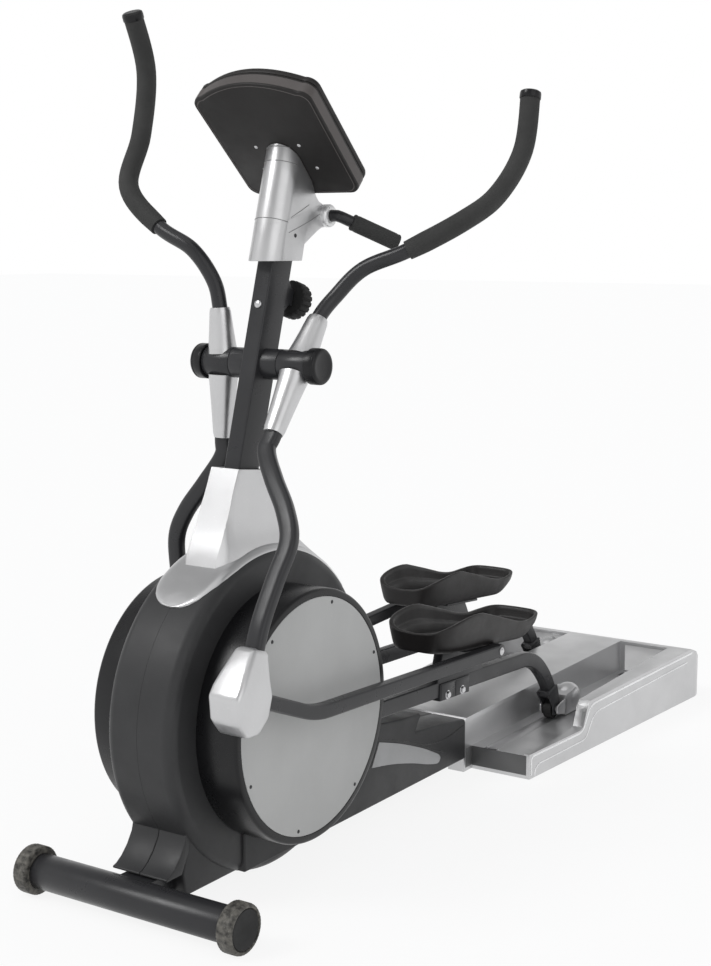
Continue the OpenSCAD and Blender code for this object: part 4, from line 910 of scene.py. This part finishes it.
def buildPedals():
    p = pedal
    outer = [(26, 0.0), (19, 0.03), (14.5, 0.1), (11, 0.2), (8.5, 0.32), (6.2, 0.46), (3.8, 0.62),
             (1.8, 0.78), (0.6, 0.9), (0.2, 0.96), (1.4, 0.99), (4, 1.0), (7, 0.985), (9, 0.95), (10.2, 0.86)]
    inner = [(11.5, 0.66), (13, 0.58), (21, 0.54), (24, 0.46), (26, 0.2), (28, 0.05), (34, 0)]
    loops = []
    for inset, f, within in [(*row, False) for row in outer] + [(*row, True) for row in inner]:
        loop = []
        for k in range(144):
            t = 2 * math.pi * k / 144
            s = signedPower(math.sin(t), p["square"])
            c = signedPower(math.cos(t), p["square"])
            front, back = max(0.0, -c) ** 8, max(0.0, c) ** 8
            rim = rimOf(c * (p["length"] - inset)) - 18 * front * (1 - s * s) + 3 * back * (1 - s * s)
            z = p["floor"] + f * (rim - 8 - p["floor"]) if within else f * rim
            heel = 0 if within else max(0.0, c) ** 3 * p["heel"] * (1 - min(1, z / 40)) ** 1.3
            nose = 0 if within else front * 0.6 * inset * (1 - f)
            loop.append((s * (p["half"] - inset) * (1 - 0.06 * c),
                         c * (p["length"] - inset - heel + nose), z))
        loops.append(loop)
    tray = rings(loops)
    turns = [2 * math.pi * k / 96 for k in range(96)]
    oval = [(signedPower(math.sin(t), p["square"]), signedPower(math.cos(t), p["square"])) for t in turns]
    edge = [[(x * (p["half"] - g), y * (p["length"] - g), z) for x, y in oval]
            for g, z in ((31, 7), (31, 10.5), (32, 11.5), (36, 11.5), (37, 10.5))]
    ribs = [block(i * 11 - 2, i * 11 + 2, -150, 170, p["floor"] - 2, p["floor"] + 4.4) for i in range(-4, 5)]
    cross = [block(-50, 50, y, y + 3, p["floor"] - 2, p["floor"] + 3.4) for y in range(-190, 210, 20)]
    tread = joined(rings(edge), *ribs, *cross)
    head = lathe([(0, 5), (1.2, 4.8), (2.4, 3.4), (2.2, 1.8), (1.4, 0.5)], 24)
    at = knuckleFrame @ shift(p["x"], 4, pedalRise)
    screws = [moved(head, at @ shift(x, y, p["floor"] + 3.4)) for x in (-30, 30) for y in (-70, 20)]
    for name in sides:
        place, body = sides[name]["link"], name + "_link"
        finishPiece(makePiece(name + "Pedal", moved(tray, at), place, sharp=60), body, "pedal_plastic",
                    name + "_pedal")
        dress(name + "PedalTread", moved(tread, at), place, body, "rubber_black", edge=(0.8, 2))
        dress(name + "PedalScrews", joined(*screws), place, body, "bright_steel")


# rollers and their domed guards
guard = {"radius": 48, "wide": 0.72, "tall": 0.84, "back": 95, "up": 8, "half": 27}
wheel = ((12.7, 8.1), (12.7, 12), (12, 12.6), (11, 14), (10.4, 22), (11.6, 24), (11.4, 25.2),
         (10, 26), (4, 25.6))


def buildCarriages():
    x, g, r = link["x"], guard, guard["radius"]
    low, high = x - g["half"], x + g["half"]
    loops = []
    for k in range(33):
        a = math.pi * (k + 0.5) / 33 - math.pi / 2
        loops.append([(x + g["wide"] * r * math.cos(a) * math.cos(b),
                       g["back"] + r * math.cos(a) * math.sin(b), g["up"] + g["tall"] * r * math.sin(a))
                      for b in (2 * math.pi * m / 64 for m in range(64))])
    flank = slab([(34, -23.9), (125, -23.9), (125, 4), (112, 22), (95, 40), (34, 30)], low, high)
    tyre = [(x - a, b) for a, b in wheel] + [(x, 25.5)] + [(x + a, b) for a, b in reversed(wheel)]
    for name in sides:
        place, body = sides[name]["axle"], name + "_carriage"
        dome = makePiece(name + "WheelGuard", rings(loops), place)
        carve(dome, flank, place=place, operation="UNION")
        carve(dome, block(x - 60, x + 60, 0, 180, -90, -24), block(x - 18.6, x + 18.6, -10, 34, -30, 60),
              block(x - 60, x + 60, -10, 32, -60, 80), place=place)
        finishPiece(roundEdges(dome, 1.5, 3, 40, 50), body, "silver_plastic", name + "_carriage")
        for i, a in enumerate((low, high - 5)):
            cheek = slab([(-12, -8), (-8, -12), (40, -22), (40, 22), (-8, 12), (-12, 8)], a, a + 5)
            dress(name + "GuardCheek" + str(i), cheek, place, body, "silver_plastic", edge=(1.2,))
        pin = joined(rod(8, low, high - 0.4, 0, 0, 1), rod(11, high - 5, high - 0.2, 0, 0, 1.2),
                     rod(11, low + 0.2, low + 5, 0, 0, 1.2))
        dress(name + "RollerAxle", pin, place, body, "bright_steel")
        dress(name + "Roller", across(tyre, 0, 0, 96, closed=True), place, name + "_roller", "rubber_black",
              name + "_roller")


# platform
deck = {"front": 1181, "halfFront": 250, "halfRear": 301, "height": 150, "track": 62, "ridge": 86,
        "trough": 235, "step": 266, "wall": 4, "round": 9}


def deckShape(g):
    d = deck
    front, rear, step = d["front"], tailY, d["front"] + d["step"]
    tail = [(rear, -1 if g else 3), (rear - g, 62 - 0.3 * g), (rear - 18 - 0.8 * g, 92 - 0.5 * g),
            (rear - 44 - 0.7 * g, 118 - 0.8 * g), (rear - 74 - 0.4 * g, 139 - g),
            (rear - 104, d["height"] - g)]
    wall = [(front, -1 if g else 3)] + tail
    wall += [(step + 38, d["height"] - 16 - g), (step + 24, d["height"] - 29 - g),
             (step + 12, d["track"] + 32 - g), (step + 2, d["track"] + 9 - g),
             (step - 14, d["track"] + 4 - g), (front, d["track"] + 4 - g)]
    hr, hf = d["halfRear"] - g, d["halfFront"] - g
    outline = [(-hf, front + g), (hf, front + g), (hr, rear - 70 - 0.24 * g), (hr - 5, rear - 46 - 0.3 * g),
               (hr - 16 - 0.3 * g, rear - 22 - 0.6 * g), (hr - 35 + 0.38 * g, rear - g)]
    outline += [(-x, y) for x, y in reversed(outline[2:])]
    nose = front - 39
    ridge = [(nose + g, -1 if g else 3)] + tail + [(nose + 12 + g, d["height"] - 10 - g),
                                                   (nose + g, d["height"] - 22 - g)]
    return outline, wall, ridge


def deckSolid(name, g):
    d = deck
    outline, wall, ridge = deckShape(g)
    body = makePiece(name, plan(outline, 0.5 if g == 0 else -2, 400))
    carve(body, slab(wall, -400, 400), operation="INTERSECT")
    carve(body, slab(ridge, g - d["ridge"], d["ridge"] - g), operation="UNION")
    for side in (1, -1):
        carve(body, mirroredBlock(side, d["ridge"] - g, d["trough"] + g, d["front"] - 60, tailY - 125 + g,
                                  d["track"] - g, d["track"] + 300))
    return body


def buildPlatform():
    d = deck
    front, step, track = d["front"], d["front"] + d["step"], d["track"]
    floorEnd = tailY - 195
    body = deckSolid("platformCover", 0)
    roundEdges(body, d["round"], 5, 25, 35)
    carve(body, deckSolid("platformInside", d["wall"]))
    carve(body, block(-41, 41, front - 49, front + 61, -5, 86))
    for side in (1, -1):  # the rail's slot, then the two deep ends of the trough
        carve(body, mirroredBlock(side, 121.7, 156.3, front - 1, floorEnd + 0.3, track - 10, track + 10))
        carve(body, mirroredBlock(side, d["ridge"] + 18, d["trough"], floorEnd + 10, tailY - 135, track - 10,
                                  track + 10))
        carve(body, mirroredBlock(side, d["ridge"] + 14, d["trough"], tailY - 135, tailY - 105, track + 0.8,
                                  d["height"] - 10.2))
    finishPiece(body, "frame", "silver_plastic", "platform_cover")

    # raised beads along the deck's sides, coloured paler than the deck: painted highlight along the deck's lines
    upper = [(front + 9, 12), (front + 9, track - 3), (step - 14, track - 3), (step + 4, track + 3),
             (step + 22, track + 30), (step + 34, d["height"] - 38), (step + 54, d["height"] - 27),
             (tailY - 100, d["height"] - 12)]
    lower = [(front + 26, 6), (front + 26, 20), (front + 44, 33), (step + 2, 36), (step + 22, 42),
             (step + 44, 74), (step + 58, 90), (step + 82, 98), (tailY - 130, 116)]
    beads = []
    for route, height in ((lower, 4), (upper, 6)):
        line = []
        for y, z in filleted(route, 14, 5):
            share = min(1, (y - front) / (tailY - 70 - front))  # the sides spread towards the rear
            line.append(Vector((d["halfFront"] + (d["halfRear"] - d["halfFront"]) * share + 0.3, y, z)))
        beads.append(sweep(line, 2, height, 1, 10))
    dress("deckHighlightLines", bothSides(joined(*beads)), machine, "frame", "pale_silver_and_painted_highlight")
    # dark plates over the front walls: painted shade, standing in for the shadow on these silver walls and their
    # reflection of the black housing
    shadePlates = joined(block(d["ridge"] + 1, d["halfFront"] - 9, front - 0.8, front + 0.5, 12, track - 0.2),
                   block(d["ridge"] - 0.5, d["ridge"] + 0.8, front - 30, front - 0.9, 12, track - 0.2))
    dress("deckPaintedShade", bothSides(shadePlates), machine, "frame", "painted_shade_grey", edge=(0.4, 2))
    for side, tag in ((1, "Left"), (-1, "Right")):
        a, b = sorted((side * 122, side * 156))
        rail = joined(*[block(x0, x1, front + 12, floorEnd, z0, z1) for x0, x1, z0, z1 in
                        ((a, b, track - 3, track), (a, a + 4, 45, track - 3), (b - 4, b, 45, track - 3))])
        dress("track" + tag, rail, machine, "frame", "bare_aluminium",
              *(["track_rails"] if side == 1 else []), edge=(0.8, 2))
    pad = joined(lathe([(0.2, 19), (0, 20), (1.5, 22), (7, 22), (9, 20.5), (10, 17), (10, 6)], 48),
                 lathe([(9.5, 5), (43.5, 5)], 24), moved(hexHead(9, 6, 1.2), shift(0, 0, 9.9)))
    feet = [moved(pad, shift(x, y, 0)) for x in (-205, 205) for y in (front + 60, tailY - 90)]
    dress("levellingFeet", joined(*feet), machine, "frame", "rubber_black", "levelling_feet")


# console
console = {"width": 294, "height": 278, "bulge": 30, "corner": 24, "taper": 5, "thick": 50, "face": 16,
           "row": (-75, -25, 25, 75), "buttons": -85, "window": (180, 96), "windowAt": 60, "cap": 14}


def boardOutline(g):
    c = console
    w, h, k = c["width"] / 2 - g, c["height"] / 2 - g, c["corner"]
    out = [(t * (w - k), h + c["bulge"] * (1 - t * t)) for t in (1 - i / 12 for i in range(25))]
    narrow = w - c["taper"]  # half the board's width at its lower end
    for x, y, first, steps in ((k - w, h - k, 90, range(1, 11)), (k - narrow, k - h, 180, range(11)),
                               (narrow - k, k - h, 270, range(11)), (w - k, h - k, 0, range(10))):
        turns = [math.radians(first + 9 * i) for i in steps]
        out += [(x + k * math.cos(a), y + k * math.sin(a)) for a in turns]
    return out


def boardStack(rows, **extra):
    return rings([[(x, y, z) for x, z in boardOutline(g)] for y, g in rows], **extra)


def boxInBoard(x, z, w, h, y0, y1, r=4):
    return rings([[(x + a, y, z + b) for a, b in roundedBox(w, h, r)] for y in (y0, y1)])


def buildConsole():
    c = console
    top, split, capRadius = c["thick"], c["thick"] - c["face"], c["cap"]
    x, z, wide, tall = (0, c["windowAt"], *c["window"])
    tub = makePiece("consoleBack", boardStack([(0, 2.4), (0.5, 1), (1.4, 0.3), (2.8, 0), (split - 2.2, 0),
                                               (split - 0.8, 0.6), (split - 0.3, 1.4)]), consoleFrame)
    carve(tub, boardStack([(4, 6), (split + 2, 6)]), boxInBoard(0, -64, 26, 28, -1, 19, 2),
          place=consoleFrame)
    finishPiece(tub, "frame", "console_brown", "console_back")
    # the bead and side band are coloured paler than the back: painted reflection of the floor on the console's rim
    bead = boardStack(((0.3, 7), (-0.5, 6.6), (-0.5, 5.4), (0.3, 5)), closed=True)
    band = boardStack(((5, 0.5), (6, -0.5), (split - 6, -0.5), (split - 5, 0.5)), closed=True)
    dress("consoleBead", joined(bead, band), consoleFrame, "frame", "console_rim_painted_reflection")
    face = makePiece("consoleFace", boardStack([(split + 0.3, 1.4), (split + 0.8, 0.6), (split + 2.2, 0),
                                                (top - 7, 0), (top - 3, 1.2), (top - 0.8, 3.6), (top, 7)]),
                     consoleFrame)
    carve(face, boxInBoard(x, z, wide + 1, tall + 1, top - 4, top + 2), place=consoleFrame)
    buttonSeats = [shift(along, 0, c["buttons"]) @ spun(-90) for along in c["row"]]
    well = lathe([(split - 2, capRadius + 4), (split + 7, capRadius + 4), (split + 7.01, capRadius + 0.3),
                  (200, capRadius + 0.3)], 64)
    for seat in buttonSeats:
        carve(face, moved(well, seat), place=consoleFrame)
    finishPiece(face, "frame", "console_brown", "console_face")
    bezel = makePiece("displayBezel", boxInBoard(x, z, wide + 12, tall + 12, top - 3, top - 0.4, 8),
                      consoleFrame)
    carve(bezel, boxInBoard(x, z, wide + 1, tall + 1, top - 8, top + 5), place=consoleFrame)
    finishPiece(roundEdges(bezel, 0.6, 2), "frame", "gloss_black")
    glass = boxInBoard(x, z, wide, tall, top - 4, top - 1)
    dress("displayWindow", glass, consoleFrame, "frame", "screen", "display_window", edge=(0.8, 2))
    panels = [boxInBoard(a, z + b, w, h, top - 1.1, top - 0.7, 2)
              for a, b, w, h in ((-52, 22, 60, 34), (30, 22, 88, 34), (-62, -22, 40, 30), (-14, -22, 40, 30),
                                 (44, -22, 60, 30))]
    dress("displayPanels", joined(*panels), consoleFrame, "frame", "screen_panel")
    cap = lathe([(split + 3.7, capRadius + 3), (split + 6.7, capRadius + 3), (split + 6.7, capRadius),
                 (top + 1.6, capRadius), (top + 2.9, capRadius - 0.9), (top + 3.5, capRadius - 2.6),
                 (top + 3.2, capRadius - 5), (top + 2.6, 2)], 64)
    colours = (("start", "green"), ("stop", "red"), ("down", "grey"), ("up", "grey"))
    for seat, (label, colour) in zip(buttonSeats, colours):
        button = label + "_button"
        dress(label + "Button", moved(cap, seat), consoleFrame, button, colour + "_button", button)
    screw = lathe([(-1, 4.2), (0.4, 4.2), (1.1, 3.57), (1.5, 2.1), (1.0, 1.47), (0.9, 0.4)], 24)
    screws = [moved(screw, shift(a, 0.4, b) @ spun(90))
              for a, b in ((-68, -65), (68, -65), (-55, -1), (55, -1))]
    dress("consoleScrews", joined(*screws), consoleFrame, "frame", "bright_steel")


# neck with the fixed handlebar
neck = {"half": 40, "back": 400, "round": -25, "bar": 12.5, "barAt": (628, 1372), "hub": 24,
        "screw": (500, 1330), "flare": 15, "seams": (((485, 1367), (553, 1394)), ((477, 1336), (602, 1375))),
        "bend": ((46, 0, 0), (62, 3, -2), (78, 17, -11), (112, 51, -32), (150, 88, -56)), "gripLength": 105}


def neckFlank(y):
    return neck["half"] - max(0.0, y - 520) * 0.075 - max(0.0, y - 560) * 0.075


def buildNeck():
    n = neck
    half, y0 = n["half"], n["round"]
    barAt = Vector((0, *n["barAt"]))
    column = [(-half * math.cos(a), y0 - half * math.sin(a)) for a in (math.pi * k / 48 for k in range(49))]
    outline = column + [(half, n["back"]), (-half, n["back"])]
    solid = makePiece("neckUpper", rings([[(x, y, z) for x, y in outline] for z in (300, 900)]), mastFrame)
    side = [(300, 1278), (524, 1278), (534, 1312), (560, 1326), (594, 1341), (612, 1347), (628, 1348)]
    side += [(barAt.y + n["hub"] * math.cos(a), barAt.z + n["hub"] * math.sin(a))
             for a in map(math.radians, range(-90, 91, 15))]
    side += [(614, 1397), (598, 1402), (586, 1412), (576, 1426), (500, 1545), (300, 1800)]
    carve(solid, slab(side, -half, half), operation="INTERSECT")
    for s in (1, -1):
        carve(solid, plan([(s * (half - n["flare"]), 640), (s * 60, 640), (s * 60, 520), (s * half, 520),
                           (s * (half - 3), 560)], 1200, 1600))
    carve(solid, block(-200, 200, -0.3, 399.7, -400, 400), place=consoleFrame)
    roundEdges(solid, 3.5, 4, 35, 45)
    carve(solid, block(-20.3, 20.3, -34.3, 34.3, 0, 780), place=mastFrame)
    carve(solid, rod(n["bar"] + 0.3, -60, 60, barAt.y, barAt.z, 0.1))
    lower = solid.copy()
    lower.data = solid.data.copy()
    lower.name = "neckLower"
    scene.collection.objects.link(lower)
    carve(lower, slab([(200, 1294), (800, 1444), (800, 2000), (200, 2000)], -100, 100))
    carve(solid, slab([(200, 1293.5), (800, 1443.5), (800, 1000), (200, 1000)], -100, 100))
    finishPiece(lower, "frame", "silver_plastic", "neck_lower")
    finishPiece(solid, "frame", "silver_plastic", "neck_upper")
    bands = []
    for z, turns in ((508, range(2, 47)), (630, range(3, 46)), (660, range(5, 44))):
        line = [Vector((column[k][0] * 1.003, (column[k][1] - y0) * 1.003 + y0, z)) for k in turns]
        bands.append(sweep(line, 1.5, 1.5, 1, 8))
    dress("neckRings", joined(*bands), mastFrame, "frame", "seam_grey")
    seams = []
    for a, b in n["seams"]:
        line = [Vector((*a, 0)).lerp(Vector((*b, 0)), k / 12) for k in range(13)]
        seams.append(sweep([Vector((neckFlank(p.x), p.x, p.y)) for p in line], 1.5, 1.5, 1, 8))
    dress("neckSeams", bothSides(joined(*seams)), machine, "frame", "seam_grey")
    screw = moved(lathe([(0, 4.4), (1, 4.2), (1.8, 2.8), (1.4, 1.6), (1.0, 0.5)], 24),
                  shift(half - 0.4, *n["screw"]) @ crossAxis)
    dress("neckScrews", bothSides(screw), machine, "frame", "dark_screw")
    collar = across([(25, 24.3), (38, 24.3), (41, 23), (43, 20), (44, 16), (44, 12.9), (25, 12.9)], barAt.y,
                    barAt.z, 64, closed=True)
    dress("barCollars", bothSides(collar), machine, "frame", "pale_silver_and_painted_highlight")
    bend = [(x, y + barAt.y, z + barAt.z) for x, y, z in n["bend"]]
    route = [(-x, y, z) for x, y, z in reversed(bend)] + bend
    handlebar = sweep(smoothPath(route, 8), 2 * n["bar"], 2 * n["bar"], 1, 40)
    dress("fixedHandlebar", handlebar, machine, "frame", "dark_steel", "fixed_handlebar")
    reach = Vector(n["bend"][-1])
    along = (reach - Vector(n["bend"][2])).normalized()
    grip = lathe([(0, 13), (0, 16.5), (1.5, 17.8), (5, 18), (8, 17.2), (11, 18), (99, 18), (102, 17.2),
                  (105, 18), (108.5, 17.6), (110.6, 15), (111, 11), (110.4, 3)], 64)
    grip = moved(grip, shift(*(barAt + reach - along * n["gripLength"])) @ facing(along))
    dress("handlebarGrips", bothSides(grip), machine, "frame", "foam", "handlebar_grips")


# tension knob behind the mast
knob = {"at": (66, 371), "flutes": 18, "fluteDepth": 3}


def buildKnob():
    k = knob
    rows = [(0.3, 34, 0), (1, 38, 0.6), (3, 39.6, 1), (6, 40, 1), (29, 40, 1), (32, 39, 1), (33.6, 36.5, 0.7),
            (34, 33, 0.2), (33, 30, 0), (32.4, 12, 0), (33.4, 9, 0), (33.4, 1, 0)]
    steps = k["flutes"] * 12
    loops = []
    for z, r, depth in rows:  # a row's depth is its share of the flutes' depth
        loop = []
        for a in (2 * math.pi * m / steps for m in range(steps)):
            dip = k["fluteDepth"] * depth * max(0.0, math.cos(k["flutes"] * a)) ** 1.5
            loop.append(((r - dip) * math.cos(a), (r - dip) * math.sin(a), z))
        loops.append(loop)
    shape = joined(rings(loops), lathe([(-10, 6), (0.5, 6)], 32))
    at = shift(0, *k["at"]) @ spun(-90)
    dress("tensionKnob", moved(shape, at), mastFrame, "tension_knob", "rubber_black", "tension_knob")


buildCamera()
buildFloor()
buildSky()
buildLamps()
print("stage built")
buildFoot()
buildHousing()
buildDrums()
buildShroud()
buildMast()
buildArms()
print("housing, mast and arms built")
buildTubes()
buildLinks()
buildPedals()
buildCarriages()
print("linkage built")
buildPlatform()
buildConsole()
buildNeck()
buildKnob()
print("platform and console built")
